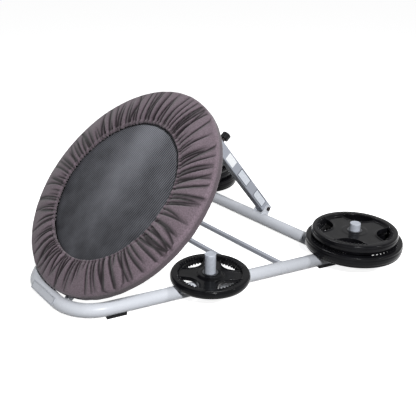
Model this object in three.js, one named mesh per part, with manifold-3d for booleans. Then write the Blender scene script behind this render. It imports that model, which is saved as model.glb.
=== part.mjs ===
// Medicine ball rebounder: a sprung mat in a round tube ring, hinged on the front of a U-shaped base
// and held up from behind by a telescoping strut, with plate pegs on the base's legs.
// Millimetres, +Z up, the front bar towards -Y. The origin is on the floor, at the middle of the footprint.

import * as THREE from "three";
import { mergeVertices } from "three/addons/utils/BufferGeometryUtils.js";
import Module from "manifold-3d";

const wasm = await Module();
wasm.setup();

// Fits
const seatGap = 0.3; // between two pieces that touch
const boltPlay = 0.4; // radial, round a bolt
const overrun = 20; // how far a cut runs past the faces it opens
const joinOverlap = 1; // of two shapes that are joined into one piece
const mergeTolerance = 1e-4;

// Base frame
const tubeDiameter = 60;
const tubeWall = 2.5;
const footThickness = 8; // rubber under a tube
const frontCornerHalfWidth = 211; // from the middle to where the axes of the front bar and a leg cross
const legSplayDegrees = 15.1;
const frontBendRadius = 185;
const legLength = 1388; // along its axis, from that crossing
const crossBarSize = 20;
const crossBarWall = 1.5;
const crossBarDistances = { front: 775, rear: 945 }; // behind the front bar
const rearInsets = { tube: 114, foot: 197, peg: 50.8 }; // from a leg's end, along the leg
const tubeSides = 20;
const boreSides = 16;
const bendSteps = 6;
const cornerSteps = 1;

// Leg caps
const capFlange = 5;
const capPlugLength = 20;
const capRounding = 1.5;

// Feet
const footWidth = 44;
const footChamfer = 2;
const footLengths = { front: 85, rear: 90 };
const frontFootDistance = 165; // of its middle, behind the front bar
const footSteps = 5;

// Face plate on the front bar, bare
const facePlateLength = 190;
const facePlateWidth = 37;
const facePlateThickness = 2;
const facePlateLeanDegrees = 36; // of its face, back from upright
const facePlateCorner = 5;

// Plate pegs
const pegDiameter = 48.3;
const pegWall = 3;
const pegHeight = 121; // above the tubes
const pegTopThickness = 4;
const pegChamfer = 2;
const frontPegDistance = 574;
const pegSides = 14;

// Grip plates
const gripPlates = {
  small: { diameter: 342, thickness: 35, hubRecess: 4, turnDegrees: 0 },
  lower: { diameter: 442, thickness: 51, hubRecess: 8, turnDegrees: 0 },
  upper: { diameter: 390, thickness: 44, hubRecess: 12, turnDegrees: 30 },
};
const plateBore = 50.8;
const hubRingWall = 5;
const hubRingLip = 3; // over the rubber, outwards and upwards
const hubBossRadius = 50;
const hubSlope = 9;
const webRecess = 13; // of the web below the rim, on both faces
const rimWidth = 38;
const rimRounding = 9;
const rimSlope = 7;
const gripSlots = 4;
const slotHalfAngleDegrees = 26;
const slotReachShare = 0.26; // radial width of a grip slot over the plate's radius
const slotSteps = 3;
const plateSides = 24;
const hubRingSides = 12;

// Deck: its place against the front bar
const deckTiltDegrees = 44.06;
const skirtClearance = 1; // between the skirt's edge and the front bar
const frontBarSetback = 35; // of the front bar's axis behind the deck's front plane
const hingeInset = 45; // of the hinge axis inside the skirt's edge
const hingeSetback = 66; // of the hinge axis behind the deck's front plane

// Deck ring and mat
const ringDiameter = 950; // on the tube's centre line
const ringTubeDiameter = 30;
const ringSetback = 22.8; // of the tube's centre line behind the front plane
const ringSides = 40;
const ringTubeSides = 8;
const lacingSpan = 88; // from the ring's tube to the mat's edge
const matThickness = 3;
const matRise = 9; // of the mat's middle in front of the ring's centre line
const matBandReach = 25; // of the band inside the mat's edge
const matBandThickness = 2.5;

// Elastic cord, laced round the ring and through an eyelet in the mat's edge at each turn
const cordTurns = 32;
const cordDiameter = 6;
const cordSides = 4;
const cordCorners = 8; // of its path round the ring's tube
const cordStandOff = 6; // of its bends from the eyelet
const eyeletSize = 9;
const eyeletInset = 6; // inside the band's outer edge

// Skirt
const skirtOverhang = 10; // of the skirt outside the ring's tube
const skirtLap = 39.5; // of its elastic edge in front over the mat's edge
const skirtSwell = 19; // how far that edge stands in front of the plane
const skirtSlopeShare = 0.7; // of the swell, left halfway from that edge to the ring
const skirtThickness = 2.4;
const skirtFrontThickness = 3;
const skirtDepth = 47;
const skirtHemWidth = 50; // behind the ring
const skirtRounding = 8;
const skirtShoulder = 10;
const gatherCount = 30;
const gatherDepth = 5;
const gatherSlopeShare = 0.8; // of the gathers' depth, left halfway from the edge to the ring
const frontElasticThickness = 6;
const rearElasticThickness = 5;
const rearElasticGap = 0.9; // inside the hem's edge
const hemClearance = 4; // of the brackets inside the rear elastic
const elasticSides = 4;
const elasticSteps = 32;

// Deck hinge
const hingeHalfSpacing = 90;
const lugThickness = 10;
const hingeEarThickness = 5;
const hingeBossRadius = 16;
const hingeEarRootShares = [-0.983, -0.55]; // of the tube's radius: low, so that the ears pass under the skirt
const hingeWebReachDegrees = [-50, -14]; // of the web between the ears, round the tube
const lugWidth = 26;

// Strut foot and head
const footEarThickness = 6;
const footBossRadius = 20;
const footEarRootShares = [-0.983, 0.983]; // of the tube's radius
const footWebReachDegrees = [-66, -36];
const saddleWebThickness = 4.5;
const saddleWebSteps = 4;
const ringSeatShares = { rise: 0.5, reach: 0.33 }; // of the ring's tube radius, where a bracket holds it
const strutTubeGap = 3; // between the sleeve and the rear tube
const strutFootRise = 13; // of the foot bolt along the strut, past the rear tube's axis
const headSetback = 78; // of the head bolt behind the deck's front plane
const headOffset = 2; // of the head bolt outside the ring's centre line
const headEarThickness = 6;
const headBossRadius = 18;
const headWebThickness = 6;
const headEarWidth = 24;

// Strut tubes
const sleeveWidth = 50;
const sleeveDepth = 54;
const sleeveWall = 3;
const sleeveCorner = 5;
const sleeveTail = 24; // below the foot bolt
const sleeveLength = 584;
const innerWidth = 40;
const innerDepth = 44;
const innerWall = 2.5;
const innerCorner = 4;
const innerHead = 24; // above the head bolt
const innerOverlap = 115; // left inside the sleeve
const headPlay = 5; // round the head bush, so that the strut can follow the deck's arc
const settingCount = 5;
const settingPitch = 50;
const settingHoleDiameter = 12;
const guideFlange = 5;
const guideDepth = 20;
const glideLength = 40;

// Pull pin
const pinInset = 32; // below the sleeve's top
const pinDiameter = 10;
const pinStemDiameter = 6;
const pinHousingDiameter = 24;
const pinHousingHeight = 18;
const pinHousingTop = 4;
const pinCollarHeight = 4;
const pinSpringWire = 1.6;
const pinPlay = 0.5; // radial
const knobDiameter = 44;
const knobHeight = 30;
const knobFlutes = 12;
const knobFluteDepth = 2.5;
const fluteCorners = 4; // of the outline for each flute, half of them in its dip
const knobStemDepth = 15; // of the pin's stem in the knob
const knobRounding = 3;

// Fasteners
const boltDiameter = 12;
const boltHeadAcross = 19;
const boltHeadHeight = 8;
const hexSides = 6;
const nutHeight = 10;
const boltTail = 3; // of thread past the nut
const bushWall = 1.5;
const bushProud = 1.5; // of the piece it carries, on both sides
const boltSides = 10;
const bossSteps = 6;

const finish = (color, roughness, metalness) => new THREE.MeshStandardMaterial({ color, roughness, metalness });
const finishes = {
  silverPowder: finish(0xb9bcc4, 0.42, 0.35),
  greyPowder: finish(0x9da1aa, 0.5, 0.3),
  brightSteel: finish(0xc6c7cb, 0.3, 0.9),
  zinc: finish(0x9b9da3, 0.4, 0.8),
  blackOxide: finish(0x1b1b1e, 0.5, 0.5),
  blackPlastic: finish(0x161617, 0.5, 0),
  nylon: finish(0x2a2a2d, 0.6, 0),
  rubber: finish(0x18181a, 0.55, 0),
  matWeave: finish(0x3d3e42, 0.75, 0),
  webbing: finish(0x222226, 0.85, 0),
  skirtFabric: finish(0x675b60, 0.9, 0),
};

// A finished piece
function piece(name, geometry, material, position = [0, 0, 0], rotation = [0, 0, 0]) {
  const mesh = new THREE.Mesh(geometry, material);
  mesh.name = name;
  mesh.position.set(...position);
  mesh.rotation.set(...rotation);
  return mesh;
}

// A closed mesh as a solid that can be joined or cut
function solidOf(geometry) {
  const bare = new THREE.BufferGeometry();
  bare.setAttribute("position", geometry.getAttribute("position"));
  bare.setIndex(geometry.index);
  const merged = mergeVertices(bare, mergeTolerance);
  return new wasm.Manifold(
    new wasm.Mesh({
      numProp: 3,
      vertProperties: Float32Array.from(merged.attributes.position.array),
      triVerts: Uint32Array.from(merged.index.array),
    }),
  );
}

function geometryOf(solid) {
  const { vertProperties, triVerts } = solid.getMesh();
  const shared = new THREE.BufferGeometry();
  shared.setAttribute("position", new THREE.BufferAttribute(Float32Array.from(vertProperties), 3));
  shared.setIndex(Array.from(triVerts));
  const flat = shared.toNonIndexed();
  flat.computeVertexNormals();
  return flat;
}

const union = (...geometries) => geometryOf(geometries.map(solidOf).reduce((sum, next) => sum.add(next)));

const cut = (geometry, ...cutters) =>
  geometryOf(cutters.map(solidOf).reduce((rest, next) => rest.subtract(next), solidOf(geometry)));

// Cuts a placed piece by a cutter that is given in the frame of the piece's parent
function carve(mesh, cutter) {
  mesh.updateMatrix();
  const local = cutter.clone().applyMatrix4(mesh.matrix.clone().invert());
  mesh.geometry = cut(mesh.geometry, local);
  return mesh;
}

// Revolves a closed profile of [radius, height] points about Z, whichever way round it is listed
function revolve(profile, segments) {
  const points = profile.map(([radius, height]) => new THREE.Vector2(radius, height));
  if (THREE.ShapeUtils.area(points) < 0) points.reverse();
  points.push(points[0].clone());
  return new THREE.LatheGeometry(points, segments).rotateX(Math.PI / 2);
}

// Extrudes an outline from [x, y] points or a Shape along +Z
function extrude(outline, depth, curveSegments = 1) {
  const shape = Array.isArray(outline) ? new THREE.Shape(outline.map(([x, y]) => new THREE.Vector2(x, y))) : outline;
  return new THREE.ExtrudeGeometry(shape, { depth, bevelEnabled: false, curveSegments });
}

// Turns an outline drawn in the YZ plane and extruded, so that it is centred on X
function acrossX(geometry, depth, centre = 0) {
  const axes = new THREE.Matrix4().makeBasis(
    new THREE.Vector3(0, 1, 0),
    new THREE.Vector3(0, 0, 1),
    new THREE.Vector3(1, 0, 0),
  );
  return geometry.applyMatrix4(axes).translate(centre - depth / 2, 0, 0);
}

const cylinder = (radius, length, sides) => new THREE.CylinderGeometry(radius, radius, length, sides);
const cylinderAlongX = (radius, length, sides) => cylinder(radius, length, sides).rotateZ(Math.PI / 2);
const cylinderAlongZ = (radius, length, sides) => cylinder(radius, length, sides).rotateX(Math.PI / 2);

function circle(radius) {
  return new THREE.Shape().absarc(0, 0, radius, 0, 2 * Math.PI, false);
}

const roundHole = (x, y, radius) => new THREE.Path().absarc(x, y, radius, 0, 2 * Math.PI, false);

function roundedRectangle(width, depth, corner) {
  const [x, y, turn] = [width / 2 - corner, depth / 2 - corner, Math.PI / 2];
  return new THREE.Shape()
    .absarc(x, y, corner, 0, turn, false)
    .absarc(-x, y, corner, turn, 2 * turn, false)
    .absarc(-x, -y, corner, 2 * turn, 3 * turn, false)
    .absarc(x, -y, corner, 3 * turn, 4 * turn, false)
    .closePath();
}

function rectangularTube(width, depth, corner, wall, length) {
  const outline = roundedRectangle(width, depth, corner);
  outline.holes.push(roundedRectangle(width - 2 * wall, depth - 2 * wall, corner - wall / 2));
  return extrude(outline, length, cornerSteps);
}

// A path through stations of a point and its direction: straights keep only their ends, bends their steps
class StationPath extends THREE.Curve {
  constructor(stations) {
    super();
    this.stations = stations;
  }
  getUtoTmapping(u) {
    return u;
  }
  between(t) {
    const place = t * (this.stations.length - 1);
    const index = Math.min(Math.floor(place), this.stations.length - 2);
    return [this.stations[index], this.stations[index + 1], place - index];
  }
  getPoint(t, target = new THREE.Vector3()) {
    const [from, to, share] = this.between(t);
    return target.lerpVectors(from.point, to.point, share);
  }
  getTangent(t, target = new THREE.Vector3()) {
    const [from, to, share] = this.between(t);
    return target.lerpVectors(from.direction, to.direction, share).normalize();
  }
}

function sweep(outline, path, curveSegments) {
  const steps = path.stations.length - 1;
  return new THREE.ExtrudeGeometry(outline, { steps, curveSegments, bevelEnabled: false, extrudePath: path });
}

const radians = THREE.MathUtils.degToRad;
const tubeRadius = tubeDiameter / 2;
const axisHeight = footThickness + tubeRadius;
const tubeTop = axisHeight + tubeRadius;
const legSplay = radians(legSplayDegrees);
const boltRadius = boltDiameter / 2;
const sides = { left: -1, right: 1 };

// Half the distance between the legs' axes, at a distance behind the front bar
const legHalfWidth = (distance) => frontCornerHalfWidth + distance * Math.tan(legSplay);

// How far behind the front bar a place on a leg is, by its distance from the leg's end
const beforeLegEnd = (inset) => (legLength - inset) * Math.cos(legSplay);
const rearTubeDistance = beforeLegEnd(rearInsets.tube);
const footDistances = { front: frontFootDistance, rear: beforeLegEnd(rearInsets.foot) };
const pegDistances = { front: frontPegDistance, rear: beforeLegEnd(rearInsets.peg) };

// The axis of the base tube: right leg, front bar, left leg
function baseTubePath() {
  const turn = Math.PI / 2 - legSplay;
  const bendStart = frontCornerHalfWidth - frontBendRadius * Math.tan(turn / 2);
  const legEnd = new THREE.Vector3(Math.sin(legSplay), Math.cos(legSplay), 0).multiplyScalar(legLength);
  legEnd.add(new THREE.Vector3(frontCornerHalfWidth, 0, axisHeight));
  const half = [{ point: legEnd, direction: new THREE.Vector3(-Math.sin(legSplay), -Math.cos(legSplay), 0) }];
  for (let step = bendSteps; step >= 0; step -= 1) {
    const angle = (turn * step) / bendSteps;
    half.push({
      point: new THREE.Vector3(
        bendStart + frontBendRadius * Math.sin(angle),
        frontBendRadius * (1 - Math.cos(angle)),
        axisHeight,
      ),
      direction: new THREE.Vector3(-Math.cos(angle), -Math.sin(angle), 0),
    });
  }
  const mirrored = half.map(({ point, direction }) => ({
    point: new THREE.Vector3(-point.x, point.y, point.z),
    direction: new THREE.Vector3(direction.x, -direction.y, 0),
  }));
  return new StationPath([...half, ...mirrored.reverse()]);
}

const basePath = baseTubePath();
const baseEnvelope = sweep(circle(tubeRadius + seatGap), basePath, tubeSides / 2);

// Places a piece on a leg, turned to run along it
function onLeg(side, distance, height) {
  return { position: [side * legHalfWidth(distance), distance, height], rotation: [0, 0, -side * legSplay] };
}

function baseTube() {
  const ring = circle(tubeRadius);
  ring.holes.push(circle(tubeRadius - tubeWall));
  return piece("base_tube", sweep(ring, basePath, tubeSides / 2), finishes.silverPowder);
}

function rearCrossTube() {
  const length = 2 * legHalfWidth(rearTubeDistance);
  const bore = cylinderAlongX(tubeRadius - tubeWall, length + overrun, boreSides);
  const tube = cut(cylinderAlongX(tubeRadius, length, tubeSides), bore);
  const mesh = piece("rear_cross_tube", tube, finishes.silverPowder, [0, rearTubeDistance, axisHeight]);
  return carve(mesh, baseEnvelope);
}

function crossBar(place) {
  const distance = crossBarDistances[place];
  const length = 2 * legHalfWidth(distance);
  const inside = crossBarSize - 2 * crossBarWall;
  const bar = cut(
    new THREE.BoxGeometry(length, crossBarSize, crossBarSize),
    new THREE.BoxGeometry(length + overrun, inside, inside),
  );
  const mesh = piece(place + "_cross_bar", bar, finishes.greyPowder, [0, distance, axisHeight]);
  return carve(mesh, baseEnvelope);
}

function legCap(name, side) {
  const plugRadius = (tubeRadius - tubeWall) * Math.cos(Math.PI / tubeSides) - seatGap;
  const profile = [
    [0, -capPlugLength],
    [plugRadius, -capPlugLength],
    [plugRadius, seatGap],
    [tubeRadius, seatGap],
    [tubeRadius, capFlange - capRounding],
    [tubeRadius - capRounding, capFlange],
    [0, capFlange],
  ];
  const end = basePath.stations[0].point;
  const cap = revolve(profile, tubeSides).rotateX(-Math.PI / 2);
  return piece(name + "_leg_cap", cap, finishes.blackPlastic, [side * end.x, end.y, end.z], [0, 0, -side * legSplay]);
}

function foot(place, name, side) {
  const [half, shoulder] = [footWidth / 2, tubeRadius + seatGap];
  const reach = Math.asin(half / shoulder);
  const outline = new THREE.Shape()
    .moveTo(-half + footChamfer, 0)
    .lineTo(half - footChamfer, 0)
    .lineTo(half, footChamfer)
    .absarc(0, axisHeight, shoulder, -Math.PI / 2 + reach, -Math.PI / 2 - reach, true)
    .lineTo(-half, footChamfer)
    .closePath();
  const length = footLengths[place];
  const pad = extrude(outline, length, footSteps)
    .translate(0, 0, -length / 2)
    .rotateX(Math.PI / 2);
  const { position, rotation } = onLeg(side, footDistances[place], 0);
  return carve(piece(place + "_" + name + "_foot", pad, finishes.rubber, position, rotation), baseEnvelope);
}

function frontFacePlate() {
  const outline = roundedRectangle(facePlateLength, facePlateWidth, facePlateCorner);
  const sheet = extrude(outline, facePlateThickness, cornerSteps);
  const lean = radians(facePlateLeanDegrees);
  const stand = tubeRadius + seatGap;
  return piece(
    "front_face_plate",
    sheet,
    finishes.silverPowder,
    [0, -stand * Math.cos(lean), axisHeight + stand * Math.sin(lean)],
    [Math.PI / 2 - lean, 0, 0],
  );
}

function peg(place, name, side) {
  const radius = pegDiameter / 2;
  const top = tubeRadius + pegHeight;
  const profile = [
    [radius - pegWall, 0],
    [radius, 0],
    [radius, top - pegChamfer],
    [radius - pegChamfer, top],
    [0, top],
    [0, top - pegTopThickness],
    [radius - pegWall, top - pegTopThickness],
  ];
  const { position } = onLeg(side, pegDistances[place], axisHeight);
  const mesh = piece(place + "_" + name + "_peg", revolve(profile, pegSides), finishes.brightSteel, position);
  return carve(mesh, baseEnvelope);
}

// Two ears on a tube round a boss at a place seen from the tube's axis, joined by a web that lies on the tube
function saddleBracket(place, { boss, rootShares, thickness, offset, webReach }) {
  const [y, z] = place;
  const distance = Math.hypot(y, z);
  const [low, high] = rootShares.map((share) => share * tubeRadius);
  const tangent = (start, way) =>
    Math.atan2(-start, distance) + way * (Math.asin(boss / Math.hypot(distance, start)) + Math.PI / 2);
  const ear = new THREE.Shape()
    .moveTo(0, high)
    .lineTo(0, low)
    .absarc(distance, 0, boss, tangent(low, -1), tangent(high, 1), false)
    .closePath();
  ear.holes.push(roundHole(distance, 0, boltRadius + boltPlay));
  const ears = [-offset, offset].map((x) => acrossX(extrude(ear, thickness, bossSteps), thickness, x));
  const [from, to] = webReach.map(radians);
  const web = new THREE.Shape()
    .absarc(0, 0, tubeRadius + seatGap + saddleWebThickness, from, to, false)
    .absarc(0, 0, tubeRadius, to, from, true)
    .closePath();
  return union(...ears, acrossX(extrude(web, 2 * offset, saddleWebSteps), 2 * offset)).rotateX(Math.atan2(z, y));
}

const hexRadius = boltHeadAcross / 2 / Math.cos(Math.PI / hexSides);

// Fasteners lie along X, with the middle of their grip at the origin and the head towards +X
function hexBolt(grip) {
  const shankLength = grip + 2 * seatGap + nutHeight + boltTail;
  const headStart = grip / 2 + seatGap;
  return union(
    cylinderAlongX(hexRadius, boltHeadHeight, hexSides).translate(headStart + boltHeadHeight / 2, 0, 0),
    cylinderAlongX(boltRadius, shankLength, boltSides).translate(headStart - shankLength / 2 + seatGap, 0, 0),
  );
}

function hexNut(grip) {
  const centre = -grip / 2 - seatGap - nutHeight / 2;
  return cut(
    cylinderAlongX(hexRadius, nutHeight, hexSides),
    cylinderAlongX(boltRadius + seatGap, nutHeight + overrun, boltSides),
  ).translate(centre, 0, 0);
}

// The tube on a bolt that a moving piece turns on, and that holds the ears off it
const bushRadius = boltRadius + boltPlay + bushWall;
const bush = (width) =>
  cut(
    cylinderAlongX(bushRadius, width + 2 * bushProud, boltSides),
    cylinderAlongX(boltRadius + boltPlay, width + 2 * bushProud + overrun, boltSides),
  );

// The bolt, nut and bush of a pivot, for a piece of some width between ears
function pivot(name, width, earThickness, place, headsLeft = false) {
  const grip = width + 2 * (bushProud + seatGap + earThickness);
  const turn = [0, 0, headsLeft ? Math.PI : 0];
  return [
    piece(name + "_bolt", hexBolt(grip), finishes.blackOxide, place, turn),
    piece(name + "_nut", hexNut(grip), finishes.blackOxide, place, turn),
    piece(name + "_bush", bush(width), finishes.nylon, place),
  ];
}

// Of an ear's middle from the middle of the piece between the ears
const earOffset = (width, earThickness) => width / 2 + bushProud + seatGap + earThickness / 2;

// Deck frame: origin on the hinge axis, +Y up the slope, +Z out of its front
const deckTilt = radians(deckTiltDegrees);
const upSlope = new THREE.Vector3(0, Math.cos(deckTilt), Math.sin(deckTilt));
const outFront = new THREE.Vector3(0, -Math.sin(deckTilt), Math.cos(deckTilt));
const ringRadius = ringDiameter / 2;
const ringTubeRadius = ringTubeDiameter / 2;
const skirtRadius = ringRadius + ringTubeRadius + skirtOverhang;
const matRadius = ringRadius - ringTubeRadius - lacingSpan;
const skirtEdge = matRadius - skirtLap;
const deckCentre = new THREE.Vector3(0, 0, axisHeight)
  .addScaledVector(upSlope, skirtRadius + skirtClearance + tubeRadius)
  .addScaledVector(outFront, frontBarSetback);
const hingeRise = skirtRadius - hingeInset; // from the hinge to the deck's centre, up the slope
const hinge = deckCentre.clone().addScaledVector(upSlope, -hingeRise).addScaledVector(outFront, -hingeSetback);
const ringHeight = hingeSetback - ringSetback;
const matHeight = ringHeight + matRise;

// A ring about the deck's centre line, at a height in the deck frame
const deckRing = (radius, tube, tubeFacets, facets, height) =>
  new THREE.TorusGeometry(radius, tube, tubeFacets, facets).translate(0, hingeRise, height);

const ringEnvelope = () => deckRing(ringRadius, ringTubeRadius + seatGap, ringTubeSides, ringSides, ringHeight);

function rimRing() {
  const ring = deckRing(ringRadius, ringTubeRadius, ringTubeSides, ringSides, ringHeight);
  return piece("rim_ring", ring, finishes.silverPowder);
}

const cordPitch = (2 * Math.PI) / cordTurns;
const eyeletAngles = Array.from({ length: cordTurns - 1 }, (_, index) => (index + 1) * cordPitch);
const eyeletRadius = matRadius + eyeletSize / 2 + seatGap;
const bandTop = matHeight - matThickness / 2 - seatGap;
const bandMiddle = bandTop - matBandThickness / 2;

function mat() {
  const sheet = cylinderAlongZ(matRadius, matThickness, ringSides).translate(0, hingeRise, matHeight);
  return piece("mat", sheet, finishes.matWeave);
}

// Webbing under the mat's edge, with an eyelet for each turn of the cord but one: the strut's bracket has that place
function matEdgeBand() {
  const edge = circle(eyeletRadius + eyeletSize / 2 + eyeletInset);
  edge.holes.push(circle(matRadius - matBandReach));
  const half = eyeletSize / 2;
  for (const angle of eyeletAngles) {
    const middle = new THREE.Vector2(0, eyeletRadius);
    const corners = [
      [-half, -half],
      [half, -half],
      [half, half],
      [-half, half],
    ].map(([x, y]) => new THREE.Vector2(x, y).add(middle).rotateAround(new THREE.Vector2(), -angle));
    edge.holes.push(new THREE.Path(corners));
  }
  const webbing = extrude(edge, matBandThickness, ringSides / 2);
  return piece("mat_edge_band", webbing.translate(0, hingeRise, bandTop - matBandThickness), finishes.webbing);
}

// The cord's path: round the ring's tube from behind to the front, in to an eyelet, through it and out again
function lacingCord() {
  const stand = ringTubeRadius + seatGap + cordDiameter / 2;
  const cornerReach = stand / Math.cos(Math.PI / cordCorners);
  const wrap = Array.from({ length: cordCorners - 2 }, (_, index) => {
    const angle = ((index - (cordCorners - 3) / 2) * 2 * Math.PI) / cordCorners;
    return [ringRadius + cornerReach * Math.cos(angle), ringHeight + cornerReach * Math.sin(angle)];
  });
  const passRadius = eyeletRadius + (eyeletSize - cordDiameter) / 2 - seatGap;
  const points = [];
  const add = (radius, angle, height) =>
    points.push(new THREE.Vector3(radius * Math.sin(angle), hingeRise + radius * Math.cos(angle), height));
  for (const angle of [0, ...eyeletAngles]) {
    if (angle > 0)
      for (const aside of [cordStandOff, 0, -cordStandOff]) add(passRadius, angle, bandMiddle + aside);
    for (const [radius, height] of wrap) add(radius, angle + cordPitch / 2, height);
  }
  const stations = points.map((point, index) => {
    const [before, after] = [points[Math.max(index - 1, 0)], points[Math.min(index + 1, points.length - 1)]];
    return { point, direction: after.clone().sub(before).normalize() };
  });
  const section = Array.from({ length: cordSides }, (_, index) => {
    const angle = (2 * Math.PI * index) / cordSides;
    return new THREE.Vector2((cordDiameter / 2) * Math.cos(angle), (cordDiameter / 2) * Math.sin(angle));
  });
  return piece("lacing_cord", sweep(new THREE.Shape(section), new StationPath(stations), 1), finishes.webbing);
}

// The skirt's section as [radius, height in front of the deck's front plane, share of the gathers' depth]
function skirtSection() {
  const [edge, inner, outer] = [skirtEdge, ringRadius - ringTubeRadius, skirtRadius];
  const [cloth, front] = [skirtThickness, skirtFrontThickness];
  const middle = (edge + inner) / 2;
  const slope = skirtSwell * skirtSlopeShare;
  const shoulder = outer - skirtShoulder;
  const hem = outer - skirtHemWidth;
  return [
    [edge, skirtSwell, 1],
    [middle, slope, gatherSlopeShare],
    [shoulder, front / 2, 0],
    [outer, -skirtRounding, 0],
    [outer, -skirtDepth + skirtRounding, 0],
    [outer - skirtRounding, -skirtDepth, 0],
    [hem, -skirtDepth, 0],
    [hem, -skirtDepth + cloth - seatGap, 0],
    [outer - skirtRounding - cloth / 2, -skirtDepth + cloth - seatGap, 0],
    [outer - cloth, -skirtDepth + skirtRounding + cloth / 2, 0],
    [outer - cloth, -skirtRounding - cloth / 2, 0],
    [shoulder - cloth, -front / 2, 0],
    [middle, slope - front, gatherSlopeShare],
    [edge, skirtSwell - front, 1],
  ];
}

// A ring of cloth with radial gathers, deepest at the elastic edge
function skirt() {
  const section = skirtSection();
  const columns = 2 * gatherCount;
  const positions = [];
  const indices = [];
  for (let column = 0; column < columns; column += 1) {
    const angle = (2 * Math.PI * column) / columns;
    const fold = column % 2 ? 1 : -1;
    for (const [radius, height, share] of section)
      positions.push(
        radius * Math.cos(angle),
        hingeRise + radius * Math.sin(angle),
        hingeSetback + height + (fold * share * gatherDepth) / 2,
      );
  }
  for (let column = 0; column < columns; column += 1)
    for (let row = 0; row < section.length; row += 1) {
      const nextRow = (row + 1) % section.length;
      const [near, far] = [column * section.length, ((column + 1) % columns) * section.length];
      indices.push(near + row, near + nextRow, far + nextRow, near + row, far + nextRow, far + row);
    }
  const cloth = new THREE.BufferGeometry();
  cloth.setAttribute("position", new THREE.Float32BufferAttribute(positions, 3));
  cloth.setIndex(indices);
  cloth.computeVertexNormals();
  return piece("skirt", cloth, finishes.skirtFabric);
}

function skirtElastics() {
  const [front, rear] = [frontElasticThickness / 2, rearElasticThickness / 2];
  const underFold = skirtSwell - skirtFrontThickness - gatherDepth / 2 - seatGap;
  const frontBand = deckRing(
    skirtEdge + front,
    front,
    elasticSides,
    elasticSteps,
    hingeSetback + underFold - front - seatGap,
  );
  const hemEdge = skirtRadius - skirtHemWidth - rearElasticGap;
  const hemMiddle = hingeSetback - skirtDepth + skirtThickness / 2;
  const rearBand = deckRing(hemEdge - rear, rear, elasticSides, elasticSteps, hemMiddle);
  return [
    piece("skirt_front_elastic", frontBand, finishes.webbing),
    piece("skirt_rear_elastic", rearBand, finishes.webbing),
  ];
}

// A bracket from the inside of the ring, round the skirt's hem, to a boss behind the ring.
// It is drawn in [distance from the deck's centre, height in the deck frame] and cut to the ring.
function ringBracketOutline(ringDistance, hemDistance, boss, bossRadius, width) {
  const inside = ringDistance - ringTubeRadius;
  const hemPass = hemDistance - rearElasticThickness - hemClearance;
  const behindSkirt = hingeSetback - skirtDepth - skirtThickness;
  const start = hemPass - width;
  const seatTop = ringHeight + ringTubeRadius * ringSeatShares.rise;
  const seatReach = ringTubeRadius * ringSeatShares.reach;
  const outline = new THREE.Shape()
    .moveTo(start, seatTop)
    .lineTo(inside + seatReach, seatTop)
    .lineTo(inside + seatReach, ringHeight - seatReach)
    .lineTo(hemPass, ringHeight - ringTubeRadius + skirtThickness)
    .lineTo(hemPass, behindSkirt)
    .lineTo(boss[0], Math.max(behindSkirt, boss[1] + bossRadius) - seatGap)
    .absarc(boss[0], boss[1], bossRadius, Math.PI / 2, -Math.PI / 2, true)
    .lineTo(start + width / 2, boss[1] - bossRadius)
    .lineTo(start, boss[1])
    .closePath();
  return outline;
}

const lugRingDistance = Math.sqrt(ringRadius ** 2 - hingeHalfSpacing ** 2);

// A lug under the ring, between the hinge ears
function hingeLug(name, side) {
  const outer = hingeHalfSpacing + lugThickness / 2;
  const hemDistance = Math.sqrt((skirtRadius - skirtHemWidth) ** 2 - outer ** 2);
  const outline = ringBracketOutline(lugRingDistance, hemDistance, [hingeRise, 0], hingeBossRadius, lugWidth);
  outline.holes.push(roundHole(hingeRise, 0, bushRadius + boltPlay));
  const lug = acrossX(extrude(outline, lugThickness, bossSteps), lugThickness, side * hingeHalfSpacing)
    .scale(1, -1, 1)
    .translate(0, hingeRise, 0);
  return carve(piece(name + "_hinge_lug", turnedOut(lug), finishes.silverPowder), ringEnvelope());
}

// A mirrored geometry with its faces turned out again
function turnedOut(geometry) {
  const flat = geometry.index ? geometry.toNonIndexed() : geometry;
  const place = flat.getAttribute("position");
  for (let corner = 0; corner < place.count; corner += 3) {
    const [a, b] = [corner + 1, corner + 2].map((index) => new THREE.Vector3().fromBufferAttribute(place, index));
    place.setXYZ(corner + 1, ...b);
    place.setXYZ(corner + 2, ...a);
  }
  flat.computeVertexNormals();
  return flat;
}

function hingeBracket(name, side) {
  const bracket = saddleBracket([hinge.y, hinge.z - axisHeight], {
    boss: hingeBossRadius,
    rootShares: hingeEarRootShares,
    thickness: hingeEarThickness,
    offset: earOffset(lugThickness, hingeEarThickness),
    webReach: hingeWebReachDegrees,
  });
  const place = [side * hingeHalfSpacing, 0, axisHeight];
  return carve(piece(name + "_hinge_bracket", bracket, finishes.silverPowder, place), baseEnvelope);
}

function hingePivot(name, side) {
  const place = [side * hingeHalfSpacing, hinge.y, hinge.z];
  return pivot(name + "_hinge", lugThickness, hingeEarThickness, place, side < 0);
}

// Strut: from a bolt behind the rear tube to a bolt behind the top of the ring.
// Its frame has its origin on the foot bolt, +Z along the strut and +Y out of its upper face.
const headRise = hingeRise + ringRadius + headOffset;
const headHeight = hingeSetback - headSetback;
const head = hinge.clone().addScaledVector(upSlope, headRise).addScaledVector(outFront, headHeight);
const rearAxis = new THREE.Vector3(0, rearTubeDistance, axisHeight);
const strutStand = tubeRadius + strutTubeGap + sleeveDepth / 2; // of the strut's axis off the rear tube's
const strutReach = Math.sqrt(head.distanceTo(rearAxis) ** 2 - strutStand ** 2);
const strutLength = strutReach - strutFootRise;
const toHead = Math.atan2(head.z - rearAxis.z, rearAxis.y - head.y);
const strutElevation = toHead - Math.atan(strutStand / strutReach);
const strutLean = Math.PI / 2 - strutElevation;
const alongStrut = new THREE.Vector3(0, -Math.sin(strutLean), Math.cos(strutLean));
const offStrut = new THREE.Vector3(0, Math.cos(strutLean), Math.sin(strutLean));
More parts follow.
